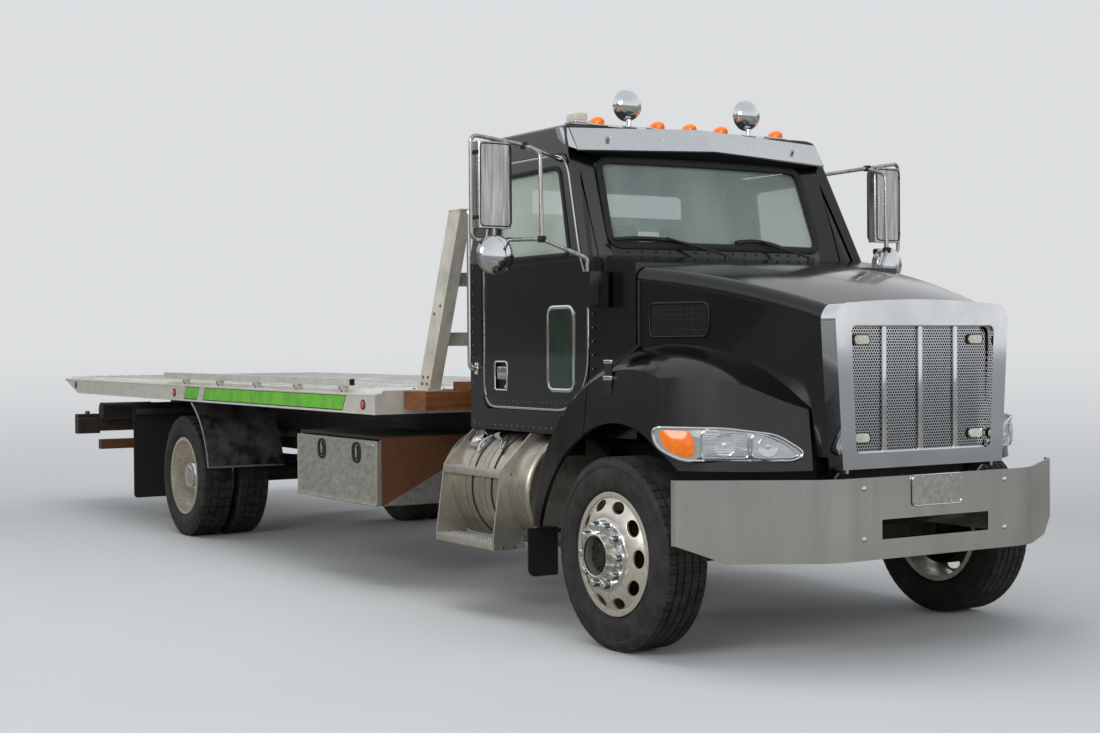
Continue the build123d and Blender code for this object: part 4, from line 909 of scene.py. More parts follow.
@dataclass
class WheelTrim(Fittings):
    """Bright hub rings, lug covers and hub caps on the polished wheels."""

    front_mount: float = -1.21
    rear_mount: float = -0.94
    lug_r: float = 0.143
    lugs: int = 10

    def build(self) -> None:
        """Dress the four axle ends."""
        self.front()
        self.rear()

    def turned_out(self, base: float, rows: Outline, steps: int, closed: bool = False) -> Patch:
        """A profile of (how far out from the base, radius) turned about the right-hand axle."""
        return turned_profile([(base - out, r) for out, r in rows], steps, closed=closed)

    def around(self, patch: Patch, count: int, radius: float, start: float = 0.0) -> Patch:
        """Copies of a patch, unturned, evenly spaced on a circle about the axle."""
        angles = TAU * (np.arange(count) + start) / count
        return joined([patch.moved(radius * math.cos(a), 0, radius * math.sin(a)) for a in angles])

    def covers(self, base: float, length: float) -> Patch:
        """The ring of lug covers: each a skirt, a slightly tapered barrel and a domed top."""
        rows = [(-0.001, 0.029), (0.004, 0.029), (0.0065, 0.0265), (0.0085, 0.0225), (0.012, 0.0212),
                (length - 0.01, 0.02), (length - 0.004, 0.018), (length - 0.001, 0.013),
                (length + 0.0006, 0.006), (length + 0.0008, 0.0)]
        return self.around(self.turned_out(base, rows, 20), self.lugs, self.lug_r)

    def front(self) -> None:
        """The front wheels' chrome rings and lug covers, the collars' rolled lips and the dark hubs inside."""
        base = self.front_mount
        plate = [(0.0, 0.103), (0.0035, 0.104), (0.005, 0.112), (0.0045, 0.16), (0.003, 0.171), (-0.0005, 0.1745),
                 (-0.003, 0.1745), (-0.003, 0.103)]
        lip = [(0.05, 0.1015), (0.055, 0.1045), (0.0595, 0.1045), (0.0615, 0.1), (0.06, 0.0955),
               (0.0555, 0.0945), (0.05, 0.0957)]
        cap = [(0.0135, 0.0845), (0.0195, 0.083), (0.021, 0.06), (0.029, 0.056), (0.033, 0.05),
               (0.033, 0.03), (0.03, 0.026), (0.03, 0.0), (0.013, 0.0)]
        bolt = self.turned_out(base, [(0.02, 0.0075), (0.027, 0.0072), (0.0275, 0.0)], 6)
        rings = [self.turned_out(base, rows, 80, closed=True) for rows in (plate, lip)]
        hub = [self.turned_out(base, cap, 48), self.around(bolt, 8, 0.071, 0.5)]
        self.add_pairs("front_wheel_{}_body",
                       (("front_hub_ring", rings + [self.covers(base - 0.004, 0.0475)], Look.CHROME, "chrome"),
                        ("front_hub", hub, Look.HUB, "cast_grey")), 40, FRONT_HUB)

    def rear(self) -> None:
        """The rear domes over the hubs, the lug covers deep in the dishes and the valve stems."""
        dome = [(1.075, 0.113), (1.09, 0.1138), (1.096, 0.1125), (1.11, 0.1075), (1.128, 0.094), (1.139, 0.075),
                (1.1445, 0.052), (1.1465, 0.026), (1.147, 0.0)]
        lid = self.turned_out(0.0, [(1.075, 0.113), (1.075, 0.0)], 64).flipped()
        stem = smooth_path([(0.255, -1.02, 0.0), (0.262, -1.08, 0.0), (0.268, -1.135, 0.004)], 0.02)
        self.add_pairs("rear_wheels_{}_body",
                       (("rear_hub_dome", [self.turned_out(0.0, dome, 64), lid, self.covers(self.rear_mount,
                                                                                            0.049)],
                         Look.CHROME, "chrome"),
                        ("rear_valve_stem", [bead(stem, 0.0048, 10)], Look.CHROME, "chrome")), 40, REAR_HUB)


# Front end: grille, headlamps, bumper and hood fittings

def bolt_heads(places: list[Point] | np.ndarray, axis: str, radius: float, height: float, sides: int = 6) -> Patch:
    """Heads standing on points, all along one axis: hexagonal with six sides, round and domed with more.

    Args:
        places: points on the surface.
        axis: "x", "y" or "z", with a leading "-" where the heads point the other way.
        radius: a head's radius.
        height: how far it stands.
        sides: how many sides a head has.

    Returns:
        All the heads.
    """
    sign = -1.0 if axis.startswith("-") else 1.0
    if sides == 6:
        rows = [(-0.002, radius), (height * 0.85, radius), (height, radius * 0.86), (height, 0.0)]
    else:
        rows = [(-0.002, radius), (height * 0.35, radius), (height * 0.8, radius * 0.72), (height, 0.0)]
    one = turned_profile([(sign * s, r) for s, r in rows], sides, axis[-1])
    # A turned profile's faces look outwards only where it climbs towards the axis's low end
    one = one.flipped() if sign > 0 else one
    return joined([one.moved(*place) for place in places])


def rows_of(x: list[float], y: list[float], z: list[float]) -> np.ndarray:
    """Every point with one of the given x, y and z."""
    return np.stack(np.meshgrid(x, y, z, indexing="ij"), axis=-1).reshape(-1, 3)


def plate_with_slots(width: float, height: float, pitch: float, hole: float, thick: float,
                     shape: Callable[[np.ndarray, np.ndarray], np.ndarray]) -> Patch:
    """A perforated sheet in the y-z plane at x = 0: rows of long hexagonal cells with real holes.

    Each cell is a ring between its own border and the hole's edge, so neighbours meet without gaps.

    Args:
        width: the sheet's width along y.
        height: its height along z.
        pitch: the cells' pitch along y; rows are 0.866 of it apart and every second row is shifted by half.
        hole: the hole's radius.
        thick: the sheet's thickness.
        shape: tells whether cells centred at (y, z) belong to the sheet.

    Returns:
        The sheet, closed through its holes; its outer border is left to the frame that covers it.
    """
    rise = pitch * math.sqrt(3) / 2
    rows = int(height / rise) + 1
    columns = int(width / pitch) + 1
    r, c = np.meshgrid(np.arange(rows), np.arange(columns), indexing="ij")
    y = (c - (columns - 1) / 2 + 0.5 * (r % 2) - 0.25) * pitch
    z = (r - (rows - 1) / 2) * rise
    keep = shape(y, z)
    y, z = y[keep], z[keep]
    a = TAU * (np.arange(6) + 0.5) / 6
    border = pitch / math.sqrt(3)
    outer = np.stack([np.cos(a) * border, np.sin(a) * border], axis=-1)
    inner = np.stack([np.cos(a) * hole, np.sin(a) * hole], axis=-1)
    rings = [(outer, thick / 2), (inner, thick / 2), (inner, -thick / 2), (outer, -thick / 2)]
    cell = np.array([[(x, p[0], p[1]) for p in ring] for ring, x in rings])
    base = grid(cell, wrap_v=True)
    count = len(y)
    shift = np.stack([np.zeros(count), y, z], axis=-1)
    points = (base.points[None] + shift[:, None]).reshape(-1, 3)
    quads = (base.quads[None] + (np.arange(count) * len(base.points))[:, None, None]).reshape(-1, 4)
    return Patch(points, quads)


@dataclass
class Grille(Fittings):
    """The radiator grille: perforated stainless, three bright bars, a rolled frame and four small lamps."""

    x: float = 0.8625
    span_y: float = 0.458
    span_z: tuple[float, float] = (0.96, 1.545)

    def build(self) -> None:
        """Make the grille's pieces on the hood."""
        mid = sum(self.span_z) / 2
        half_z = (self.span_z[1] - self.span_z[0]) / 2

        def inside(y: np.ndarray, z: np.ndarray) -> np.ndarray:
            corner = 0.06
            dy, dz = np.abs(y) - (self.span_y - 0.012 - corner), np.abs(z) - (half_z - 0.008 - corner)
            return np.hypot(np.maximum(dy, 0), np.maximum(dz, 0)) < corner

        sheet = plate_with_slots(0.95, 0.62, 0.015, 0.006, 0.0016, inside)
        obj = self.add("grille_mesh", [sheet.moved(self.x - 0.01, 0, mid)], Look.STAINLESS, "hood", "stainless",
                       40)
        # A black plate behind the mesh: painted shade for the space behind the grille
        backing = prism(rounded_rect((-0.455, 0.455), (0.963, 1.542), 0.05), "x", 0.8305, 0.8365)
        dark = self.add("grille_painted_shade", [backing], Look.DARK, "hood", "plastic_black", sharp=40)
        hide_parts("grille_screen")
        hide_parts("grille_screen")
        bars = [block((self.x - 0.00125, y, mid), (0.00725, 0.0145, half_z + 0.003), 0.006, 2)
                for y in (-0.2285, 0.0, 0.2285)]
        low, high = self.span_z
        rim = smooth_path([(self.x, y * self.span_y, z) for y, z in ((-1, mid), (-1, low), (1, low), (1, high),
                                                                     (-1, high), (-1, mid))], 0.05, 7)[:-1]
        bars.append(bead(rim, 0.0065, up=(1, 0, 0), closed=True))
        self.add("grille_bars", bars, Look.CHROME, "hood", "chrome", sharp=40)
        self.corner_lamps()

    def corner_lamps(self) -> None:
        """Four small oblong clear lamps on black pads, with bright bezels and moulded ribs."""
        pads, bezels, lenses = [], [], []
        for y, z in ((-0.365, 1.478), (0.365, 1.478), (-0.365, 1.027), (0.365, 1.027)):
            outline = rounded_rect((-0.054, 0.054), (-0.024, 0.024), 0.022)
            pads.append(prism(outline + np.array([y, z]), "x", self.x - 0.011, self.x - 0.002))
            ring = np.stack([np.full(len(outline), self.x - 0.001), outline[:, 0] * 0.8 + y,
                             outline[:, 1] * 0.78 + z], axis=-1)
            bezels.append(bead(ring, 0.0035, up=(1, 0, 0), closed=True))
            lens = outline * np.array([0.76, 0.72])
            lenses.append(prism(lens + np.array([y, z]), "x", self.x - 0.003, self.x + 0.004))
            for k in range(-3, 4):
                lenses.append(block((self.x + 0.00425, y + k * 0.01, z), (0.00225, 0.0032, 0.013), 0.003, 1))
        self.add_rows("hood", (("corner_lamp_pads", pads, Look.RUBBER, "rubber"),
                               ("corner_lamp_bezels", bezels, Look.CHROME, "chrome"),
                               ("corner_lamp_lenses", lenses, Look.FROSTED, "lamp_clear")))


@dataclass
class Headlamp(Fittings):
    """One headlamp unit in the fender's slanted nose, drawn in the lamp's own plane of (along, up, out).

    The plane runs from its start along a level direction (a, b); outwards is (b, -a).
    """

    outline: tuple[tuple[float, float], ...] = ((-0.02, 1.08), (0.33, 1.078), (0.56, 1.048), (0.69, 0.965),
                                                (0.65, 0.928), (0.125, 0.928), (0.004, 0.986))
    start: tuple[float, float] = (0.3, -1.13)
    along: tuple[float, float] = (0.651, 0.759)
    facing: Point = (0.759, -0.651, 0)

    def place(self, u: np.ndarray, z: np.ndarray | float, out: float) -> np.ndarray:
        """Points of the lamp's plane in the truck's frame; the plane's own surface bulges along its length."""
        bulge = 0.075 * np.sin(np.clip((u + 0.02) / 0.71, 0, 1) * math.pi)
        far = out + bulge - 0.006
        along_x, along_y = self.along
        return np.stack([self.start[0] + along_x * u + along_y * far, self.start[1] + along_y * u - along_x * far,
                         np.broadcast_to(z, u.shape)], axis=-1)

    def field(self, edge: np.ndarray, rings: int, depth: Callable[[float], float]) -> Patch:
        """A surface inside a closed edge: rings shrink towards the middle, with a depth by share."""
        mid = edge.mean(0)
        rows = []
        for share in np.linspace(0, 1, rings + 1):
            u, z = (edge + (mid - edge) * share).T
            rows.append(self.place(u, z, depth(share)))
        return grid(np.array(rows), wrap_v=True)

    def tube(self, edge: np.ndarray, radius: float, out: float) -> Patch:
        """A bead that follows a closed edge."""
        return bead(self.place(*edge.T, out), radius, up=self.facing, closed=True)

    def build(self) -> None:
        """Both lamps: housing, bezel, amber side lens, two clear lenses and the reflectors behind them."""
        whole = rounded_outline(list(self.outline), 0.05, 7)
        amber = rounded_outline([(0.015, 1.068), (0.165, 1.066), (0.19, 1.000), (0.18, 0.944), (0.12, 0.944),
                                 (0.04, 0.99)], 0.03, 6)
        main = rounded_outline([(0.218, 1.063), (0.432, 1.056), (0.432, 0.942), (0.218, 0.942)], 0.022, 6)
        front = rounded_outline([(0.448, 1.054), (0.52, 1.044), (0.6, 1.008), (0.66, 0.957), (0.64, 0.942),
                                 (0.448, 0.942)], 0.03, 6)
        housing = self.field(whole, 5, lambda s: 0.004)
        bezel = self.tube(whole, 0.0075, 0.004)
        rims = self.tube(main, 0.0045, 0.007) + self.tube(front, 0.0045, 0.007)
        bowls = self.bowl((0.325, 1.002), 0.052) + self.bowl((0.522, 0.994), 0.045)
        lens = self.field(main, 4, lambda s: 0.006 + 0.01 * s) + self.field(front, 4, lambda s: 0.006 + 0.01 * s)
        side = self.field(amber, 5, lambda s: 0.006 + 0.014 * s * (2 - s))
        flutes = [bead(self.place(np.linspace(0.228, 0.422, 8), 0.955 + k * 0.0115, 0.0115), 0.0018, 6,
                       up=self.facing) for k in range(9)]
        for name, patch, look, slot in (
                ("headlamp_housings", housing, Look.LAMP_BOWL, "chrome"),
                ("headlamp_bezels", bezel + rims, Look.CHROME, "chrome"),
                ("headlamp_reflectors", bowls + joined(flutes), Look.LAMP_BOWL, "chrome"),
                ("headlamp_lenses", lens, Look.LENS, "lamp_clear"),
                ("headlamp_side_lenses", side, Look.AMBER, "lamp_amber")):
            obj = self.add(name, [patch.both()], look, "hood", slot)
            if name == "headlamp_housings":
                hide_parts("headlamps")

    def bowl(self, centre: tuple[float, float], radius: float) -> Patch:
        """A round reflector ring standing just proud of the housing, with a bulb cap in its middle."""
        a = np.linspace(0, TAU, 28, endpoint=False)
        u, z = radius * np.cos(a), radius * np.sin(a)
        return grid(np.array([self.place(centre[0] + share * u, centre[1] + share * z, out) for share, out in (
            (1.06, 0.004), (1.0, 0.0095), (0.9, 0.0075), (0.5, 0.0055), (0.24, 0.0052), (0.22, 0.0125),
            (0.12, 0.0145), (0.001, 0.015))]), wrap_v=True)


@dataclass
class Bumper(Fittings):
    """Bolts, and the blank plate with its brackets, frame and screws."""

    def build(self) -> None:
        """Make the bumper's fittings on the chassis."""
        x = 0.965
        heads = bolt_heads(rows_of([x], [-0.45, 0.45], [0.575, 0.805]), "x", 0.0135, 0.008, 16)
        self.add("bumper_bolts", [heads], Look.CHROME, "chassis", "chrome")
        outline = rounded_rect((-0.155, 0.155), (0.712, 0.852), 0.02)
        plate = prism(outline, "x", x + 0.0045, x + 0.0065)
        frame = bead(laid(outline, "x", x + 0.0065), 0.004, up=(1, 0, 0), closed=True)
        brackets = [rounded_box((x - 0.001, x + 0.0048), (-0.1, 0.1), (z, z + 0.015), 0.002, 1)
                    for z in (0.73, 0.815)]
        screws = bolt_heads(rows_of([x + 0.0065], [-0.09, 0.09], [0.722, 0.842]), "x", 0.006, 0.003, 10)
        self.add("number_plate_blank", [plate] + brackets, Look.PLATE, "chassis", "deck_aluminium")
        self.add("number_plate_frame", [frame, screws], Look.CHROME, "chassis", "chrome")


# Cab, doors, mirrors and roof

class Surface:
    """A CAD node's surface, for pieces that lie on it."""

    def __init__(self, node: bpy.types.Object) -> None:
        """Read the node's triangles in the truck's frame."""
        mesh = node.data
        points = np.empty(len(mesh.vertices) * 3)
        mesh.vertices.foreach_get("co", points)
        matrix = np.array(node.matrix_world)
        points = points.reshape(-1, 3) @ matrix[:3, :3].T + matrix[:3, 3]
        self.tree = BVHTree.FromPolygons(points.tolist(), [tuple(p.vertices) for p in mesh.polygons])

    def cast(self, start: tuple[float, float, float], way: tuple[float, float, float],
             lift: float = 0.0) -> np.ndarray | None:
        """Where a ray from a local point meets the surface, lifted towards where it came from.

        Args:
            start: the ray's start, with x from the front axle.
            way: its direction.
            lift: how far the answer stands off the surface.

        Returns:
            The point with x from the front axle, or None where the ray misses.
        """
        hit = self.tree.ray_cast(Vector((start[0] + FRONT_AXLE_X, start[1], start[2])), Vector(way))[0]
        if hit is None:
            return None
        back = Vector(way).normalized() * lift
        return np.array([hit.x - back.x - FRONT_AXLE_X, hit.y - back.y, hit.z - back.z])


BELT_Z = 1.925
GLASS_RISE = 0.75


def cab_side(z: float | np.ndarray) -> float | np.ndarray:
    """Half the cab's width at a height: the doors' half, less 0.098 of the share from the belt to the roof."""
    return -DOOR_Y - 0.098 * np.maximum(0.0, np.asarray(z) - BELT_Z) / GLASS_RISE


def cab_front(y: np.ndarray, z: np.ndarray) -> np.ndarray:
    """The windshield's x: it leans back by 0.26 over its height and bows forward by 0.06 in the middle."""
    lean = (np.asarray(z) - BELT_Z) / GLASS_RISE
    return -0.645 - 0.26 * lean + 0.06 * (1 - (np.asarray(y) / 0.715) ** 2)


def side_path(outline: np.ndarray, out: float) -> np.ndarray:
    """An outline in x and z laid on the cab's right side, standing off by an amount."""
    return np.stack([outline[:, 0], -(cab_side(outline[:, 1]) + out), outline[:, 1]], axis=-1)


def spaced(points: list[tuple[float, float, float]], step: float) -> np.ndarray:
    """Points along straight runs, one step apart."""
    out = []
    for a, b in zip(np.array(points[:-1]), np.array(points[1:])):
        count = max(1, round(float(np.linalg.norm(b - a)) / step))
        out.extend(a + (b - a) * k / count for k in range(count))
    return np.array(out + [points[-1]])


@dataclass
class DoorDress(Fittings):
    """Trim, seals, handles, rivets and inner panels of the two doors and the cab's sides."""

    door: tuple[tuple[float, float], ...] = ((-1.586, 1.12), (-1.586, 2.47), (-0.83, 2.47), (-0.596, 1.925),
                                             (-0.523, 1.77), (-0.523, 1.29), (-0.69, 1.12))
    window: tuple[tuple[float, float], ...] = ((-1.455, 1.93), (-1.455, 2.395), (-0.88, 2.405),
                                               (-0.69, 1.93))
    peep: tuple[tuple[float, float], ...] = ((-0.905, 1.225), (-0.905, 1.66), (-0.655, 1.66), (-0.655, 1.225))

    def build(self) -> None:
        """Dress both doors; only the right one has the low window."""
        flat = np.array([(-0.0065, -0.0015), (0.0065, -0.0015), (0.0055, 0.0025), (0.0, 0.0042),
                         (-0.0055, 0.0025)])
        lip = np.array([(-0.013, -0.003), (0.013, -0.003), (0.012, 0.004), (0.004, 0.0085), (-0.004, 0.0085),
                        (-0.012, 0.004)])
        trim = self.ring(self.door, 0.125, 0.0, flat)
        seal = self.ring(self.window, 0.06, 0.001, lip)
        peep_rim = self.ring(self.peep, 0.055, 0.001, lip * 0.8)
        rivets, foot_rivets = self.rivets()
        handle, paddle = self.handle()
        self.add_pairs("door_{}_body", (
            ("door_trim", [trim], Look.CHROME, "chrome"),
            ("window_seal", [seal], Look.RUBBER, "rubber"),
            ("door_handle", [handle], Look.CHROME, "chrome"),
            ("door_handle_pull", [paddle], Look.BLACK_PLASTIC, "plastic_black"),
            ("door_belt_rivets", [rivets], Look.ENAMEL, "cab_black"),
            # The foot rivets' pale zinc colour is a painted highlight
            ("door_foot_rivets_painted_highlight", [foot_rivets], Look.HARDWARE, "stainless"),
            ("door_card", [self.card()], Look.GREY_PLASTIC, "plastic_grey")))
        self.add("peep_window_rim", [peep_rim], Look.CHROME, "door_right_body", "chrome")
        pane = rounded_rect((-0.895, -0.665), (1.235, 1.65), 0.05, 6)
        self.add("peep_window_pane", [prism(pane[:, ::-1], "y", DOOR_Y - 0.0025, DOOR_Y - 0.0005)], Look.TINTED,
                 "door_right_body", "glass")

    def ring(self, corners: tuple[tuple[float, float], ...], radius: float, out: float,
             section: np.ndarray) -> Patch:
        """A bead round an outline on the right side."""
        outline = rounded_outline(list(corners), radius, 6)
        return swept(side_path(dense(outline, 0.08), out), section, up=(0, -1, 0), closed=True)

    def rivets(self) -> tuple[Patch, Patch]:
        """Round rivets under the belt and up the hinge side, and pale ones along the door's foot, whose zinc-grey
        colour is a painted highlight.
        """
        rows = np.vstack([spaced([(-1.56, DOOR_Y, 1.895), (-0.55, DOOR_Y, 1.895)], 0.042),
                          spaced([(-1.562, DOOR_Y, 1.18), (-1.562, DOOR_Y, 1.86)], 0.085)])
        foot = spaced([(-1.5, DOOR_Y, 1.156), (-0.74, DOOR_Y, 1.156)], 0.045)
        return bolt_heads(rows, "-y", 0.0066, 0.004, 8), bolt_heads(foot, "-y", 0.0042, 0.003, 8)

    def handle(self) -> tuple[Patch, Patch]:
        """The chrome rim of the pocket with its pull inside and a small lock barrel."""
        outline = rounded_outline([(-1.465, 1.216), (-1.465, 1.372), (-1.333, 1.372), (-1.333, 1.216)], 0.02, 5)
        rim = bead(laid(outline, "y", -0.9565), 0.006, up=(0, -1, 0), closed=True)
        barrel = turned_profile([(-0.945, 0.011), (-0.952, 0.011), (-0.953, 0.008), (-0.951, 0.006),
                                 (-0.951, 0.0)], 16, "y", (-1.355, 0, 1.235))
        pull = rounded_box((-1.452, -1.346), (-0.953, -0.941), (1.272, 1.345), 0.005, 2)
        back = rounded_box((-1.463, -1.335), (-0.9365, -0.9335), (1.218, 1.37), 0.001, 1)
        return rim + pull + barrel, back

    @staticmethod
    def card() -> Patch:
        """The door's inner panel with an armrest."""
        panel = rounded_box((-1.545, -0.6), (-0.832, -0.82), (1.18, 1.9), 0.006, 2)
        rest = rounded_box((-1.35, -0.85), (-0.824, -0.762), (1.56, 1.615), 0.02, 3)
        return panel + rest


@dataclass
class Windscreen(Fittings):
    """The windshield's rubber, the wipers, painted shade under the visor, and rivets over the cowl."""

    def build(self) -> None:
        """Make them on the chassis body."""
        outline = rounded_outline([(-0.712, 1.985), (-0.69, 2.45), (0.69, 2.45), (0.712, 1.985)], 0.07, 7)
        y, z = dense(outline, 0.06).T
        path = np.stack([cab_front(y, z) + 0.002, y, z], axis=-1)
        seal = swept(path, [(-0.02, -0.004), (0.02, -0.004), (0.019, 0.005), (0.006, 0.011), (-0.006, 0.011),
                            (-0.019, 0.005)], up=(1, 0, 0.3), closed=True)
        rear = rounded_outline([(-0.56, 1.96), (-0.56, 2.38), (0.56, 2.38), (0.56, 1.96)], 0.055, 6)
        rear_path = laid(rear, "x", -1.7445)
        seal = seal + bead(rear_path, 0.012, up=(1, 0, 0), closed=True)
        self.add("glazing_rubber", [seal], Look.RUBBER, "chassis", "rubber")
        self.add("wipers", [self.wipers()], Look.BLACK_PLASTIC, "chassis", "plastic_black")
        # The visor's underside is drawn black as painted shade
        self.add("visor_painted_shade", [self.underside()], Look.DARK, "chassis", "plastic_black")
        self.add_both("visor_ends", [self.end_return()], Look.STAINLESS, "chassis", "stainless")
        y = np.linspace(-0.62, 0.62, 16)
        z = np.full(16, 1.951)
        row = np.stack([cab_front(y, z) + 0.001, y, z], axis=-1)
        self.add("cowl_rivets", [bolt_heads(row, "x", 0.0075, 0.004, 10)], Look.BLACK_PLASTIC, "chassis",
                 "plastic_black")

    def wipers(self) -> Patch:
        """Two arms with their blades low on the glass, both swept towards the truck's right."""
        total = []
        for pivot_y, elbow_y, tip_y, end_y in ((-0.09, -0.4, -0.7, -0.245), (0.49, 0.235, 0.064, 0.4)):
            def glass(y: float, z: float, out: float) -> tuple[float, float, float]:
                return float(cab_front(np.array(y), np.array(z))) + out, y, z
            start = (-0.47, pivot_y, 1.918)
            arm = smooth_path([start, (-0.485, pivot_y - 0.02, 1.945), glass((pivot_y + elbow_y) / 2, 1.985,
                                                                             0.055),
                               glass(elbow_y, 2.028, 0.034)], 0.08, 6)
            total.append(swept(arm, strip_section(0.006, -0.004, 0.005, 0.004), up=(1, 0, 0.4)))
            total.append(turned_profile([(-0.018, 0.021), (0.006, 0.021), (0.014, 0.016), (0.018, 0.008),
                                         (0.0185, 0.0)], 20, "z", start))
            y = np.linspace(tip_y, end_y, 9)
            z = 2.012 + 0.02 * (1 - ((y - (tip_y + end_y) / 2) / (abs(end_y - tip_y) / 2)) ** 2) \
                + 0.02 * (tip_y - y) / abs(end_y - tip_y)
            spine = np.stack([cab_front(y, z) + 0.03, y, z], axis=-1)
            rubber = np.stack([cab_front(y, z) + 0.013, y, z - 0.002], axis=-1)
            total.append(swept(spine, strip_section(0.0045, -0.004, 0.0045, 0.004), up=(1, 0, 0.4)))
            total.append(swept(rubber, strip_section(0.0025, -0.014, 0.0035, 0.014), up=(0, 0, 1)))
        return joined(total)

    def underside(self) -> Patch:
        """Painted shade under the visor: a black sheet from its lower edge back to the glass, and up behind its
        face.
        """
        y = np.linspace(-0.842, 0.842, 15)
        share = np.abs(y) / 0.85
        low = np.stack([-0.69 - 0.075 * share - 0.01, y, 2.516 - 0.028 * share - 0.002], axis=-1)
        high = np.stack([-0.828 - 0.018 * share - 0.014, y, 2.648 - 0.036 * share - 0.014], axis=-1)
        inner_y = np.clip(y, -0.71, 0.71)
        back = np.stack([cab_front(inner_y, np.full(15, 2.475)) + 0.001, inner_y, np.full(15, 2.475)], axis=-1)
        sheet = np.array([high, low, back])
        lower = sheet + np.array([-0.001, 0, -0.0025])
        return grid(np.concatenate([sheet, lower[::-1]]), wrap_u=True)

    @staticmethod
    def end_return() -> Patch:
        """The visor's right end folded back to the cab's side, a four-cornered sheet 3 mm thick."""
        side = -(float(cab_side(2.58)) + 0.004)
        face = np.array([[(-0.768, -0.848, 2.489), (-0.862, -0.848, 2.612)],
                         [(-0.85, side - 0.004, 2.52), (-0.905, side - 0.004, 2.618)],
                         [(-0.925, side, 2.56), (-0.95, side, 2.622)]])
        inner = face + np.array([0.0, 0.003, 0.0])
        return grid(np.concatenate([face, inner[::-1]]), wrap_u=True, cap=False)


@dataclass
class RoofLamps(Fittings):
    """Five amber markers on bright feet, two round chrome lamps and a small clear beacon."""

    slope: float = math.atan2(0.043, 0.19)

    def on_roof(self, x: float, y: float, patch: Patch) -> Patch:
        """Set a patch, made round the origin with +z up, on the sloping front of the roof."""
        z = 2.632 + (-x - 0.85) * math.tan(self.slope)
        return patch.turned(Matrix.Translation((x, y, z)) @ Matrix.Rotation(self.slope, 4, "Y"))

    def build(self) -> None:
        """Make the lamps in place of the plain CAD ones."""
        lenses, feet, bowls, glasses = [], [], [], []
        u = np.linspace(0.0, 1.0, 13)
        v = np.linspace(0.0, math.pi, 17)
        width = 0.037 * np.sqrt(np.clip(1 - ((u - 0.45) / 0.56) ** 2, 0.0, 1))
        height = 0.04 * np.sqrt(np.clip(1 - ((u - 0.62) / 0.63) ** 2, 0.0, 1))
        along = -0.046 + 0.096 * u
        lens = grid(np.stack([np.broadcast_to(along[:, None], (13, 17)), width[:, None] * np.cos(v)[None, :],
                              0.006 + height[:, None] * np.sin(v)[None, :]], axis=-1), wrap_v=True, cap=True)
        foot = rounded_box((-0.05, 0.051), (-0.042, 0.042), (-0.001, 0.008), 0.004, 2)
        for y in (-0.62, -0.22, 0.0, 0.22, 0.62):
            lenses.append(self.on_roof(-0.93, y, lens))
            feet.append(self.on_roof(-0.93, y, foot))
        bowl = [(0.047, 0.0), (0.0465, 0.012), (0.043, 0.03), (0.035, 0.05), (0.021, 0.068), (0.003, 0.08),
                (-0.014, 0.0855), (-0.026, 0.0875), (-0.032, 0.0875), (-0.034, 0.084), (-0.031, 0.08)]
        glass = [(-0.031, 0.0835), (-0.034, 0.07), (-0.0365, 0.04), (-0.037, 0.0)]
        for y in (-0.415, 0.415):
            centre = (-0.918, y, 2.77)
            bowls += [turned_profile(bowl, 48, "x", centre),
                      turned_profile([(-0.128, 0.012), (-0.08, 0.012)], 12, "z", centre),
                      bead(np.array([(-0.928, y, 2.6905), (-0.928, y, 2.679)]), 0.016, 10, up=(1, 0, 0))]
            glasses.append(turned_profile(glass, 48, "x", centre).flipped())
            feet.append(self.on_roof(-0.915, y, rounded_box((-0.03, 0.03), (-0.03, 0.03), (0, 0.01), 0.003, 1)))
        beacon = rounded_box((-1.155, -1.055), (-0.676, -0.594), (2.684, 2.737), 0.012, 3)
        feet.append(rounded_box((-1.16, -1.05), (-0.68, -0.59), (2.6755, 2.688), 0.004, 2))
        self.add_rows("chassis", (("roof_marker_lenses", lenses, Look.AMBER, "lamp_amber"),
                                  ("roof_lamp_feet", feet, Look.CHROME, "chrome"),
                                  ("roof_round_lamps", bowls, Look.CHROME, "chrome"),
                                  ("roof_round_lenses", glasses, Look.FROSTED, "lamp_clear"),
                                  ("roof_beacon", [beacon], Look.FROSTED, "lamp_clear")), node="roof_lamps")


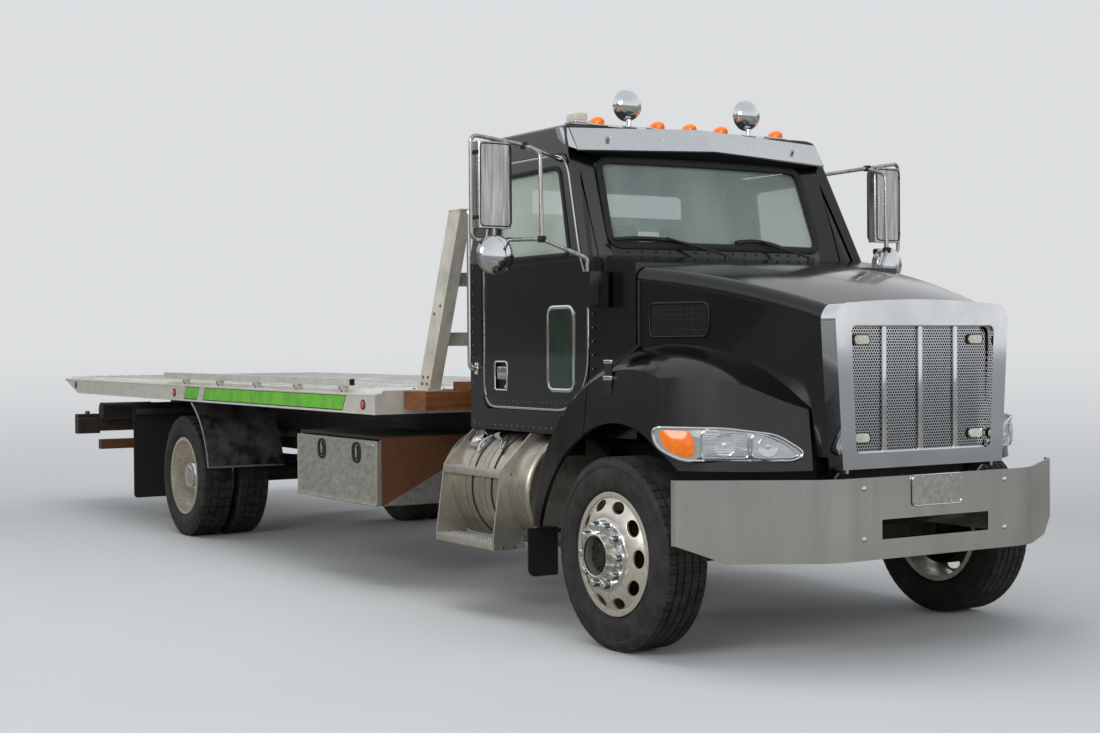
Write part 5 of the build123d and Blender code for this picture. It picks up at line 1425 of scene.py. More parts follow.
@dataclass
class Mirrors(Fittings):
    """Mirror glass, gaskets, clamps, bolts and the round mirrors' bowls, on the doors."""

    def build(self) -> None:
        """Dress both mirror sets."""
        outline = rounded_rect((-1.438, -1.262), (2.074, 2.486), 0.025, 5)
        glass = prism(outline, "x", -0.8472, -0.8452)
        front = rounded_rect((-1.44, -1.26), (2.07, 2.49), 0.025, 5)
        gasket = bead(laid(outline, "x", -0.8465), 0.0045, up=(1, 0, 0), closed=True)
        gasket = gasket + bead(laid(front, "x", -0.765), 0.0035, up=(1, 0, 0), closed=True)
        centre = (0.0, -1.35, 1.925)
        bowl = turned_profile([(-0.768, 0.1005), (-0.762, 0.1012), (-0.756, 0.0985), (-0.744, 0.082),
                               (-0.735, 0.055), (-0.731, 0.025), (-0.73, 0.0)], 48, "x", centre)
        convex = turned_profile([(-0.8005, 0.094), (-0.8045, 0.07), (-0.8075, 0.035), (-0.8085, 0.0)], 48, "x",
                                centre).flipped()
        ring = turned_profile([(-0.7985, 0.1005), (-0.7985, 0.0935), (-0.8025, 0.0935), (-0.8035, 0.0965),
                               (-0.8025, 0.1005)], 48, "x", centre, closed=True)
        clamps = []
        for x, y, z in ((-0.6, -1.18, 2.000), (-0.762, -1.18, 2.489), (-0.81, -1.3, 2.005)):
            clamps.append(block((x, y, z), (0.02, 0.018, 0.017), 0.008, 2))
            clamps.append(bolt_heads([(x + 0.0195, y, z)], "x", 0.009, 0.008))
        clamps.append(rounded_box((-0.835, -0.775), (-1.458, -1.443), (2.105, 2.125), 0.004, 1))
        clamps.append(rounded_box((-0.835, -0.775), (-1.458, -1.443), (2.435, 2.455), 0.004, 1))
        self.add_pairs("door_{}_body", (
            ("mirror_glass", [glass, convex], Look.MIRROR, "chrome"),
            ("mirror_gasket", [gasket, ring], Look.RUBBER, "rubber"),
            ("mirror_clamps", clamps, Look.BLACK_PLASTIC, "plastic_black"),
            ("mirror_bowl", [bowl], Look.CHROME, "chrome")))


@dataclass
class CabFittings(Fittings):
    """Rivets on the shell, handle feet, the cab's grey lining and the dash gauges."""

    def build(self) -> None:
        """Make them on the chassis body."""
        rows = np.vstack([spaced([(-1.715, DOOR_Y, 1.03), (-1.715, DOOR_Y, 1.9)], 0.07),
                          spaced([(-1.7, DOOR_Y, 1.02), (-0.7, DOOR_Y, 1.02)], 0.06),
                          spaced([(-0.48, DOOR_Y, 1.2), (-0.48, DOOR_Y, 1.62)], 0.07)])
        heads = bolt_heads(rows, "-y", 0.0058, 0.003, 8)
        high = spaced([(-1.715, 0, 1.96), (-1.715, 0, 2.44)], 0.07)
        high = np.stack([high[:, 0], -cab_side(high[:, 2]) + 0.0005, high[:, 2]], axis=-1)
        heads = heads + bolt_heads(high, "-y", 0.0058, 0.0035, 8)
        self.add_both("cab_rivets", [heads], Look.HARDWARE, "chassis", "stainless")
        feet = []
        for z, y in ((1.33, 0.955), (2.24, float(cab_side(2.24)))):
            feet.append(rounded_box((-1.69, -1.65), (-y - 0.008, -y + 0.001), (z - 0.035, z + 0.035), 0.006, 2))
            feet.append(bolt_heads([(-1.67, -y - 0.008, z - 0.024), (-1.67, -y - 0.008, z + 0.024)], "-y", 0.006,
                                   0.004, 10))
        self.add_both("grab_handle_feet", feet, Look.CHROME, "chassis", "chrome")
        rear_wall = (-1.697, -1.685)
        lining = [rounded_box(rear_wall, y, z, 0.004, 1) for y, z in (((-0.84, 0.84), (1.12, 1.925)),
                                                                      ((-0.8, 0.8), (2.415, 2.56)),
                                                                      ((-0.83, -0.6), (1.915, 2.42)),
                                                                      ((0.6, 0.83), (1.915, 2.42)))]
        lining.append(rounded_box((-1.68, -0.95), (-0.74, 0.74), (2.566, 2.58), 0.005, 1))
        self.add("cab_lining", lining, Look.HEADLINER, "chassis", "plastic_grey")
        self.gauges()

    def gauges(self) -> None:
        """A row of round gauges and a switch row on the dash in front of the driver."""
        rims = []
        for y, z, radius in ((0.36, 1.775, 0.055), (0.5, 1.775, 0.055), (0.26, 1.795, 0.028), (0.6, 1.795, 0.028),
                             (0.66, 1.745, 0.028), (0.2, 1.745, 0.028)):
            rims.append(turned_profile([(-0.01, radius), (-0.022, radius), (-0.026, radius * 0.93),
                                        (-0.02, radius * 0.86), (-0.018, 0.0)], 24, "x", (-0.75, y, z)).flipped())
        self.add("dash_gauges", rims, Look.CHROME, "chassis", "chrome")


@dataclass
class Seats(Fittings):
    """Padded seats: cloth cushions and rounded backs swollen by a cloth simulation, on plain boxed bases."""

    voxel: float = 0.012
    pressure: float = 4.0
    last_frame: int = 15
    farthest: float = 0.014

    def build(self) -> None:
        """Make the bench on the right and the driver's seat."""
        for name, y0, y1 in (("bench", -0.79, 0.06), ("driver", 0.19, 0.72)):
            cushion = rounded_box((-1.47, -1.01), (y0 + 0.012, y1 - 0.012), (1.452, 1.548), 0.045, 4)
            back = rounded_box((-1.55, -1.452), (y0 + 0.012, y1 - 0.012), (1.545, 2.175), 0.046, 4)
            for part, patch in (("cushion", cushion), ("back", back)):
                obj = self.add(f"{name}_{part}", [patch], Look.SEAT_CLOTH, "chassis", "seat_cloth")
                self.swell(obj)
                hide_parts("seats")
            base = rounded_box((-1.44, -1.06), (y0 + 0.06, y1 - 0.06), (1.111, 1.456), 0.02, 2)
            stand = self.add(f"{name}_base", [base], Look.BLACK_PLASTIC, "chassis", "plastic_black")
            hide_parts("seats")

    def swell(self, obj: bpy.types.Object) -> None:
        """Remesh a pad, swell it with cloth under pressure and keep the result, no point moved past the farthest.

        Args:
            obj: the pad.
        """
        remesh = obj.modifiers.new("even", "REMESH")
        remesh.mode, remesh.voxel_size = "VOXEL", self.voxel
        self.bake(obj)
        start = np.empty(len(obj.data.vertices) * 3)
        obj.data.vertices.foreach_get("co", start)
        cloth = obj.modifiers.new("swell", "CLOTH")
        cloth.settings.use_pressure = True
        cloth.settings.uniform_pressure_force = self.pressure
        cloth.settings.effector_weights.gravity = 0.0
        cloth.settings.quality = 4
        scene = bpy.context.scene
        for number in range(1, self.last_frame + 1):
            scene.frame_set(number)
        self.bake(obj)
        scene.frame_set(1)
        end = np.empty_like(start)
        obj.data.vertices.foreach_get("co", end)
        move = (end - start).reshape(-1, 3)
        far = np.linalg.norm(move, axis=1, keepdims=True)
        move *= np.minimum(1.0, self.farthest / np.maximum(far, 1e-9))
        obj.data.vertices.foreach_set("co", (start.reshape(-1, 3) + move).reshape(-1))
        obj.data.polygons.foreach_set("use_smooth", np.ones(len(obj.data.polygons), bool))
        obj.data.update()

    @staticmethod
    def bake(obj: bpy.types.Object) -> None:
        """Put the modified mesh in place of the object's own and drop the modifiers."""
        graph = bpy.context.evaluated_depsgraph_get()
        mesh = bpy.data.meshes.new_from_object(obj.evaluated_get(graph), depsgraph=graph)
        material = obj.data.materials[0]
        obj.modifiers.clear()
        old, obj.data = obj.data, mesh
        bpy.data.meshes.remove(old)
        if not mesh.materials:
            mesh.materials.append(material)


# Bed, boxes, tanks and chassis

def side_sheet(corners: list[tuple[float, float]], low: float, high: float, radius: float = 0.0) -> Patch:
    """A flat sheet seen from the side, from corners in x and z, between two places along y."""
    outline = rounded_outline(corners, radius, 4) if radius else np.array(corners, float)
    return prism(outline[:, ::-1], "y", low, high)


def rim_ring(places: list[Point] | np.ndarray, axis: str, radius: float, thick: float) -> list[Patch]:
    """A round bead lying on a surface round each place."""
    a = np.linspace(0, TAU, 12, endpoint=False)
    rows = np.stack([thick * np.cos(a), radius + thick * np.sin(a)], axis=-1)
    return [turned_profile(rows, 28, axis, tuple(place), closed=True) for place in places]


@dataclass
class BedDress(Fittings):
    """The bed's green band, markers, floor ribs, rolled rail edges, bolts, tail lamps and winch rope."""

    bed: str = "deck_body"
    floor_z: float = 1.1968
    rib_pitch: float = 0.1
    ribs_a_side: int = 11
    chain_x: tuple[float, ...] = (-8.35, -7.6, -6.6, -5.3, -4.0, -3.12)
    chain_y: tuple[float, ...] = (-1.048, -0.752)
    post_pitch: float = 0.7

    def build(self) -> None:
        """Dress the bed and the headboard."""
        self.band()
        self.markers()
        self.floor()
        self.rub_rail()
        self.headboard()
        self.tail()
        self.rope()

    def band(self) -> None:
        """The slanted green band along both rails, in two lengths on a dark shadow line."""
        film, shade = [], []
        for a, b in ((-5.62, -5.35), (-5.215, -2.8)):
            film.append(side_sheet([(a, 1.074), (b, 1.074), (b + 0.055, 1.158), (a + 0.055, 1.158)], -1.273,
                                   -1.2715))
            shade.append(side_sheet([(a - 0.01, 1.068), (b + 0.004, 1.068), (b + 0.065, 1.164),
                                     (a + 0.049, 1.164)], -1.2725, -1.2715))
        self.add_both("bed_green_band", film, Look.GREEN_FILM, self.bed, "deck_aluminium")
        self.add_both("bed_band_edge", shade, Look.DARK, self.bed, "plastic_black")

    def markers(self) -> None:
        """Round marker lamps in rubber grommets along both rails."""
        spots = [(x, BED_SIDE_Y, z) for x, z in ((-2.502, 1.111), (-5.834, 1.112), (-8.448, 1.124))]
        self.add_both("bed_marker_grommets", rim_ring(spots, "y", 0.0255, 0.0062), Look.RUBBER, self.bed, "rubber")
        for name, places, look in (("bed_marker_lenses", spots[:2], Look.MARKER),
                                   ("bed_tail_marker_lenses", spots[2:], Look.RED)):
            self.add_both(name, [bolt_heads(places, "-y", 0.0215, 0.011, 24)], look, self.bed, "lamp_amber")

    def floor(self) -> None:
        """Long low ribs of the extruded floor, rolled rail edges, and chain slots with steel rims; each slot is a
        thin black plate, painted shade for the open slot.
        """
        ribs = [rounded_box((-8.68, -2.915), (y - 0.008, y + 0.008), (self.floor_z - 0.0013, self.floor_z
                                                                      + 0.0042), 0.002, 1)
                for y in np.arange(-self.ribs_a_side, self.ribs_a_side + 1) * self.rib_pitch]
        self.add("bed_floor_ribs", ribs, Look.FLOOR, self.bed, "deck_aluminium")
        edge = [rounded_box((-8.79, -2.338), (-1.2742, -1.24), (1.1575, 1.1795), 0.01, 3),
                rounded_box((-8.395, -2.338), (-1.2742, -1.262), (1.0525, 1.0625), 0.004, 2)]
        self.add_both("bed_rail_edges", edge, Look.RAIL, self.bed, "deck_aluminium")
        slots, rims = [], []
        top = self.floor_z + 0.0008
        for x in self.chain_x:
            for y in self.chain_y:
                outline = rounded_rect((x - 0.05, x + 0.05), (y - 0.015, y + 0.015), 0.0145, 4)
                # Each slot is a black plate: painted shade where the floor is open
                slots.append(prism(outline, "z", self.floor_z, top))
                rims.append(bead(laid(outline, "z", top), 0.0032, 6, closed=True))
        self.add_both("bed_chain_slots_painted_shade", slots, Look.DARK, self.bed, "plastic_black")
        self.add_both("bed_chain_slot_rims", rims, Look.RAIL, self.bed, "deck_aluminium")

    def rub_rail(self) -> None:
        """Bolt pairs on the rub rail's posts, and dark plates on its tube's ends: painted shade of the open tube.
        """
        places = [(-2.827 - self.post_pitch * i + dx, -1.266, z) for i in range(5) for dx, z
                  in ((-0.016, 1.203), (0.016, 1.188))]
        heads = bolt_heads(places, "-y", 0.0075, 0.005)
        self.add("rub_rail_bolts", [heads], Look.HARDWARE, self.bed, "steel_worn")
        # Dark plates on the bar's ends: painted shade inside the open tube
        ends = [rounded_box((x - 0.0008, x + 0.0008), (-1.2665, -1.2335), (1.2225, 1.2615), 0.0007, 1)
                for x in (-2.7, -6.07)]
        self.add("rub_rail_painted_shade_ends", ends, Look.DARK, self.bed, "plastic_black")

    def headboard(self) -> None:
        """Foot plates, bolts and top caps of the headboard's legs, and bolts through the timbers."""
        def lean(z: float) -> float:
            return -2.262 + (z - 1.192) * math.tan(math.radians(21))

        foot = [rounded_box((-2.372, -2.152), (-1.01, -0.89), (1.1915, 1.2015), 0.003, 1)]
        top = lean(2.24)
        foot.append(rounded_box((top - 0.0735, top + 0.0735), (-0.9915, -0.9085), (2.2385, 2.2475), 0.003, 1))
        self.add_both("headboard_plates", foot, Look.CREAM, self.bed, "deck_aluminium")
        places = [(lean(z) + dx, -0.988, z) for z, dx in ((1.235, -0.03), (1.235, 0.03), (1.275, -0.03),
                                                          (1.275, 0.03), (1.65, -0.03), (1.695, 0.03))]
        heads = bolt_heads(places, "-y", 0.009, 0.006)
        feet = bolt_heads(rows_of([-2.36, -2.164], [-1.000, -0.9], [1.2015]), "z", 0.008, 0.006)
        timber = bolt_heads(rows_of([-2.235, -2.095], [-1.1], [1.138]), "-y", 0.014, 0.003, 16)
        self.add_both("headboard_bolts", [heads, feet, timber], Look.HARDWARE, self.bed, "steel_worn")

    def tail(self) -> None:
        """Tail lamps in grommets on the rear member, three small markers and a blank plate."""
        x = -8.42
        big = rows_of([x], [-1.12, -0.99, -0.86], [1.113])
        small = rows_of([x], [-0.11, 0.0, 0.11], [1.113])
        rings = rim_ring(big, "x", 0.052, 0.006)
        self.add_both("tail_lamp_grommets", rings + rim_ring(small, "x", 0.016, 0.004), Look.RUBBER,
                      self.bed, "rubber")
        self.add("tail_lamps", [bolt_heads(big[:2], "-x", 0.047, 0.012, 32).both(),
                                bolt_heads(small, "-x", 0.0135, 0.006, 20)], Look.RED, self.bed, "lamp_amber")
        self.add_both("reversing_lamps", [bolt_heads(big[2:], "-x", 0.047, 0.012, 32)], Look.FROSTED, self.bed,
                      "lamp_clear")
        plate = rounded_box((x - 0.0035, x - 0.001), (0.3, 0.6), (1.06, 1.17), 0.001, 1)
        self.add("rear_plate_blank", [plate], Look.PLATE, self.bed, "deck_aluminium")

    def rope(self) -> None:
        """Wire rope wound on the drum: one layer of even turns, each touching the next, and its fairlead guide."""
        turns, radius = 36, 0.007
        a = np.linspace(0, TAU * turns, turns * 20)
        y = -0.252 + 0.504 * a / a[-1]
        path = np.stack([-2.65 + (0.062 + radius) * np.cos(a), y, 1.36 + (0.062 + radius) * np.sin(a)], axis=-1)
        self.add("winch_rope", [bead(path, radius, 6, up=(0, 1, 0))], Look.HARDWARE,
                 "winch_drum_body", "steel_worn")
        bolts = bolt_heads(rows_of([-2.845, -2.455], [-0.31, 0.31], [1.211]), "z", 0.012, 0.008)
        motor = bolt_heads(rows_of([-2.71, -2.59], [0.42], [1.3, 1.42]), "y", 0.01, 0.006)
        rollers = [turned_profile([(-0.262, 0.0), (-0.262, 0.02), (0.262, 0.02), (0.262, 0.0)], 20, "y",
                                  (-2.815, 0.0, z)) for z in (1.33, 1.392)]
        self.add("winch_bolts", [bolts, motor], Look.HARDWARE, self.bed, "steel_worn")
        self.add("winch_rollers", rollers, Look.ROD, self.bed, "steel_worn")


@dataclass
class BoxDress(Fittings):
    """The tool boxes' rolled door edges, latches, top bands and rusted front sheets."""

    door_y: float = -1.2262

    def build(self) -> None:
        """Dress both boxes."""
        outline = rounded_rect((-3.58, -2.42), (0.516, 0.884), 0.012, 3)
        flat = strip_section(0.009, -0.001, 0.008, 0.0024)
        rim = swept(laid(outline, "y", self.door_y), flat, up=(0, -1, 0), closed=True)
        pads, dishes, bright = [], [], []
        for x in (-3.203, -2.694):
            pads.append(self.latch(x, 0.812))
            dishes.append(side_sheet([(x - 0.04, 0.77), (x + 0.04, 0.77), (x + 0.04, 0.852), (x - 0.04, 0.852)],
                                     -1.2285, -1.2262, 0.03))
            bright.append(rounded_box((x - 0.011, x + 0.011), (-1.2325, -1.228), (0.782, 0.84), 0.004, 2))
            bright.append(turned_profile([(-1.2285, 0.013), (-1.2335, 0.012), (-1.234, 0.0)], 16, "y",
                                         (x, 0.0, 0.834)))
        hasp = [rounded_box((-2.575, -2.445), (-1.23, -1.2258), (0.846, 0.88), 0.002, 2),
                rounded_box((-2.56, -2.5), (-1.234, -1.229), (0.852, 0.874), 0.003, 2),
                turned_profile([(-1.229, 0.009), (-1.2345, 0.0085), (-1.2348, 0.0)], 16, "y", (-2.47, 0.0, 0.863))]
        self.add_pairs("toolbox_door_{}_body", (
            ("toolbox_door_rim", [rim], Look.BRIGHT_SHEET, "box_galvanised"),
            ("toolbox_latch_bezels", pads, Look.BLACK_PLASTIC, "plastic_black"),
            ("toolbox_latch_dishes", dishes, Look.DARK, "plastic_black"),
            ("toolbox_latch_paddles", bright, Look.CHROME, "chrome"),
            ("toolbox_hasp", hasp, Look.CHROME, "chrome")))
        rust = prism([(-1.198, 0.503), (-0.602, 0.503), (-0.602, 0.913), (-1.198, 0.913)], "x", -2.4105, -2.4082)
        # The grey triangle is painted light and shade: the front face's lower-right part, lit differently from the
        # rusty upper-left, drawn as a pale sheet
        grey = prism([(-1.185, 0.504), (-0.604, 0.504), (-0.604, 0.79)], "x", -2.4086, -2.406)
        band = rounded_box((-3.5915, -2.4085), (-1.2022, -0.6), (0.8975, 0.917), 0.003, 1)
        self.add_both("toolbox_front_sheets", [rust], Look.RUST, "chassis", "steel_worn")
        self.add_both("toolbox_front_painted_light", [grey], Look.GALVANISED, "chassis", "box_galvanised")
        self.add_both("toolbox_top_bands", [band], Look.CHASSIS, "chassis", "frame_black")

    @staticmethod
    def latch(x: float, z: float) -> Patch:
        """One latch's raised oval bezel."""
        outline = rounded_rect((x - 0.052, x + 0.052), (z - 0.056, z + 0.056), 0.048, 6)
        section = strip_section(0.01, -0.002, 0.007, 0.0048)
        return swept(laid(outline, "y", -1.2275), section, up=(0, -1, 0), closed=True)


@dataclass
class TankDress(Fittings):
    """The tanks' strap linings, seams, caps and bolts, and the steps' punched treads."""

    centre: tuple[float, float, float] = (0.0, -0.8, 0.68)

    def band(self, x: float, half: float, low: float, high: float) -> Patch:
        """A flat ring round the tank."""
        rows = [(x - half, low), (x + half, low), (x + half, high), (x - half, high)]
        return turned_profile(rows, 72, "x", self.centre, closed=True)

    def build(self) -> None:
        """Dress both tanks."""
        lining = [self.band(x, 0.04, 0.3035, 0.3078) for x in (-1.5, -1.29)]
        seams = [self.band(x, 0.004, 0.3035, 0.3066) for x in (-1.395, -1.815, -0.925)]
        bumps = [bolt_heads(self.pattern((-1.69, -1.1), y, z), "z", 0.0078, 0.005, 8)
                 for y, z in (((-1.14, -1.092), 0.79), ((-1.19, -1.072), 0.412))]
        lips = [rounded_box((-1.702, -1.088), (-1.1535, -1.149), (0.7535, 0.7925), 0.002, 1),
                rounded_box((-1.702, -1.088), (-1.2035, -1.199), (0.3735, 0.4145), 0.002, 1)]
        places = [(-1.074, y, z) for y, z in ((-1.088, 0.772), (-1.02, 0.8), (-1.145, 0.384), (-1.075, 0.384))]
        bolts = bolt_heads(places, "x", 0.0095, 0.006)
        cap = turned_profile([(-0.004, 0.046), (0.012, 0.046), (0.014, 0.058), (0.04, 0.056), (0.046, 0.05),
                              (0.047, 0.0)], 40, "z")
        grips = joined([rounded_box((-0.006, 0.006), (0.048, 0.06), (0.015, 0.041), 0.003, 1)
                        .turned(Matrix.Rotation(TAU * k / 8, 4, "Z")) for k in range(8)])
        clamp = rounded_box((-0.012, 0.012), (-0.07, 0.07), (0.004, 0.012), 0.003, 1) + \
            bead(smooth_path([(0.0, -0.06, 0.01), (0.0, -0.02, 0.03), (0.0, 0.06, 0.012)], 0.02), 0.006)
        vent = turned_profile([(-0.004, 0.018), (0.02, 0.018), (0.022, 0.024), (0.034, 0.022), (0.036, 0.0)], 20,
                              "z")
        tops = [self.on_tank(cap + grips, -1.575, 38), self.on_tank(vent, -1.42, 30)]
        tops += [self.on_tank(clamp.turned(Matrix.Rotation(a, 4, "Z")), x, 40) for x, a
                 in ((-1.29, 0.5), (-1.5, 0.0))]
        self.add_rows("chassis", (("tank_strap_linings", lining, Look.RUBBER, "rubber"),
                                  ("tank_seams", seams, Look.TANK, "wheel_polished"),
                                  ("tank_step_bumps", bumps, Look.CHROME, "deck_aluminium"),
                                  ("tank_step_lips", lips, Look.BRIGHT_SHEET, "deck_aluminium"),
                                  ("tank_plate_bolts", [bolts], Look.HARDWARE, "steel_worn"),
                                  ("tank_caps", tops, Look.CHROME, "chrome")), both=True)

    def pattern(self, x: tuple[float, float], y: tuple[float, float], z: float) -> np.ndarray:
        """A staggered field of points on a level step."""
        columns, rows = round((x[1] - x[0]) / 0.028), round((y[1] - y[0]) / 0.022)
        return np.array([(x[0] + (c + 0.5 * (r % 2)) * (x[1] - x[0]) / (columns + 0.5), y[0]
                          + r * (y[1] - y[0]) / rows, z) for r in range(rows + 1) for c in range(columns + 1)])

    def on_tank(self, patch: Patch, x: float, lean: float) -> Patch:
        """Set a patch, made round the origin with +z up, on the tank's skin, leaning from the top by degrees."""
        a = math.radians(lean)
        return patch.turned(Matrix.Translation((x, self.centre[1] - 0.305 * math.sin(a),
                                                self.centre[2] + 0.305 * math.cos(a)))
                            @ Matrix.Rotation(a, 4, "X"))


@dataclass
class ChassisDress(Fittings):
    """Fender edges, flap clamps, rail bolts, hoses, the rusted rear bar and the wheel lift's pads."""

    def build(self) -> None:
        """Make the fittings on the chassis, the tilting frame and the lift."""
        a = np.radians(np.linspace(9, 63, 19))
        arc = np.stack([-5.89 + 0.6445 * np.cos(a), np.full(19, -1.2215), 0.464 + 0.6445 * np.sin(a)], axis=-1)
        strip = strip_section(0.009, -0.003, 0.008, 0.004)
        edges = [swept(arc, strip, up=(0, -1, 0)),
                 bead(np.array([arc[0] + (0, -0.002, 0), (arc[0][0], -0.62, arc[0][2])]), 0.0085)]
        self.add_both("rear_fender_edges", edges, Look.STAINLESS, "chassis", "stainless")
        clamps = [rounded_box((-7.0595, -7.0545), (-1.19, -0.62), (0.95, 0.985), 0.002, 1),
                  bolt_heads(rows_of([-7.059], [-1.15, -0.9, -0.66], [0.9675]), "-x", 0.009, 0.006)]
        self.add_both("flap_clamps", clamps, Look.STAINLESS, "chassis", "stainless")
        self.flaps()
        along = list(np.arange(-7.2, -3.7, 0.22)) + list(np.arange(-2.3, 0.3, 0.2))
        bolts = bolt_heads(rows_of(along, [-0.43], [0.705, 0.885]), "-y", 0.0105, 0.007)
        self.add_both("rail_bolts", [bolts], Look.CHASSIS, "chassis", "frame_black")
        hoses = []
        for k, (y, z) in enumerate(((-0.455, 0.815), (-0.457, 0.79), (-0.456, 0.765))):
            run = smooth_path([(-2.2, y, z - 0.02), (-3.00, y, z), (-4.6, y - 0.004, z - 0.012 * k), (-5.1, y, z),
                               (-6.9, y, z + 0.01)], 0.25, 8)
            hoses.append(bead(run, 0.0095))
        self.add("hydraulic_hoses", [joined(hoses)], Look.RUBBER, "chassis", "rubber")
        sleeve = rounded_box((-8.3475, -8.2625), (-1.1025, -0.2475), (0.5475, 0.6325), 0.003, 1)
        self.add_both("rusted_rear_bars", [sleeve], Look.RUST, "tilt_frame_body", "steel_worn")
        self.lift()

    def flaps(self) -> None:
        """The four mud flaps with rounded lower corners, on their bars."""
        def sheet(x: float, thick: float, low: float, high: float, y_out: float, y_in: float,
                  corner: float) -> Patch:
            a = np.linspace(0, math.pi / 2, 6)
            foot = np.stack([y_out + corner * (1 - np.sin(a)), low + corner * (1 - np.cos(a))], axis=-1)
            return prism(np.vstack([foot, [(y_out, high), (y_in, high), (y_in, low)]]), "x", x - thick, x)

        rear = sheet(-7.045, 0.01, 0.205, 1.000, -1.2, -0.61, 0.03)
        front = sheet(-0.854, 0.007, 0.25, 0.505, -1.118, -0.935, 0.045)
        rubber = self.add_both("mud_flap_sheets", [rear, front], Look.RUBBER, "chassis", "rubber")
        bars = [rounded_box((-7.045, -6.995), (-1.18, -0.43), (0.9, 0.95), 0.004, 1),
                rounded_box((-0.882, -0.861), (-0.44, -0.43), (0.465, 0.76), 0.003, 1),
                turned_profile([(-1.112, 0.0), (-1.112, 0.009), (-0.43, 0.009), (-0.43, 0.0)], 14, "y",
                               (-0.87, 0.0, 0.48))]
        steel = self.add_both("mud_flap_bars", bars, Look.CHASSIS, "chassis", "frame_black")
        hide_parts("mud_flaps")
        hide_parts("mud_flaps")

    def lift(self) -> None:
        """Stops, pins and a bright edge on the wheel lift's crossbar."""
        pins = [turned_profile([(0.8, 0.0), (0.8, 0.022), (0.864, 0.022), (0.868, 0.014), (0.868, 0.0)], 18, "z",
                               (-8.92, y, 0.0)) for y in (-1.03, 1.03)]
        caps = [turned_profile([(s * 0.9515, 0.0), (s * 0.9515, 0.07), (s * 0.9495, 0.0795), (s * 0.93, 0.0805),
                                (s * 0.93, 0.0)], 36, "y", (-8.76, 0.0, 0.87)) for s in (-1, 1)]
        edge = [rounded_box((-8.984, -8.8565), (-1.133, -0.93), (0.7965, 0.8035), 0.003, 1).both()]
        self.add("lift_pins", pins + edge, Look.HARDWARE, "lift_bar_body", "steel_worn")
        self.add("lift_drum_caps", caps, Look.WORN_STEEL, "lift_bar_body", "steel_worn")


@dataclass
class HoodDress(Fittings):
    """The hood's side intakes, rubber latches and cowl seam."""

    latch: tuple[float, float] = (-0.16, 1.3)

    def build(self) -> None:
        """Dress both sides of the hood."""
        skin = Surface(bpy.data.objects["hood_shell"])
        way = (0.0, 1.0, 0.0)

        def on_side(x: float, z: float, lift: float) -> np.ndarray | None:
            return skin.cast((x, -1.6, z), way, lift)

        outline = rounded_rect((-0.13, 0.19), (1.5, 1.665), 0.035, 5)
        rim = np.array([q for q in (on_side(x, z, 0.004) for x, z in outline) if q is not None])
        frame = bead(rim, 0.0065, up=(0, -1, 0), closed=True)
        # The dark sheet under the wires is painted shade: it stands for the dark opening behind the intake's
        # screen
        u, v = np.meshgrid(np.linspace(-0.122, 0.182, 13), np.linspace(1.508, 1.657, 7), indexing="ij")
        sheet = np.array([[on_side(x, z, 0.0025) for x, z in zip(*row)] for row in zip(u, v)])
        wires = [bead(sheet[i] + (0, -0.0018, 0), 0.0022, 5) for i in range(1, 12)]
        wires += [bead(sheet[:, j] + (0, -0.0018, 0), 0.0022, 5) for j in range(1, 6)]
        seam = np.array([q for q in (on_side(-0.188, z, 0.001) for z in np.linspace(1.22, 1.78, 15))
                         if q is not None])
        seal = bead(seam, 0.009, up=(1, 0, 0))
        x, z = self.latch
        y = on_side(x, z, 0.0)[1]
        straps = [rounded_box((x - 0.03, x + 0.03), (y - 0.014, y + 0.002), (z - 0.085, z + 0.085), 0.008, 2)]
        hooks = [rounded_box((x - 0.036, x + 0.036), (y - 0.018, y + 0.002), (z - 0.012, z + 0.012), 0.005, 2),
                 rounded_box((x - 0.034, x + 0.034), (y - 0.016, y + 0.002), (z + 0.07, z + 0.09), 0.005, 2)]
        self.add_rows("hood", (("hood_intake_frames", [frame], Look.ENAMEL, "cab_black"),
                               ("hood_intake_screens", [grid(sheet)], Look.DARK, "plastic_black"),
                               ("hood_intake_wires", wires, Look.BLACK_PLASTIC, "plastic_black"),
                               ("hood_cowl_seals", [seal], Look.RUBBER, "rubber"),
                               ("hood_latches", straps, Look.RUBBER, "rubber"),
                               ("hood_latch_hooks", hooks, Look.CHROME, "chrome")), both=True)


# Stage, light and camera

def set_ramp(ramp: bpy.types.Node, stops: tuple[tuple[float, str], ...]) -> bpy.types.NodeSocket:
    """Give a colour ramp its stops of (place, hex colour), in order, and return its colour socket."""
    elements = ramp.color_ramp.elements
    for place, _ in stops[1:-1]:
        elements.new(place)
    for element, (place, colour) in zip(elements, stops):
        element.position, element.color = place, linear(colour)
    return ramp.outputs["Color"]


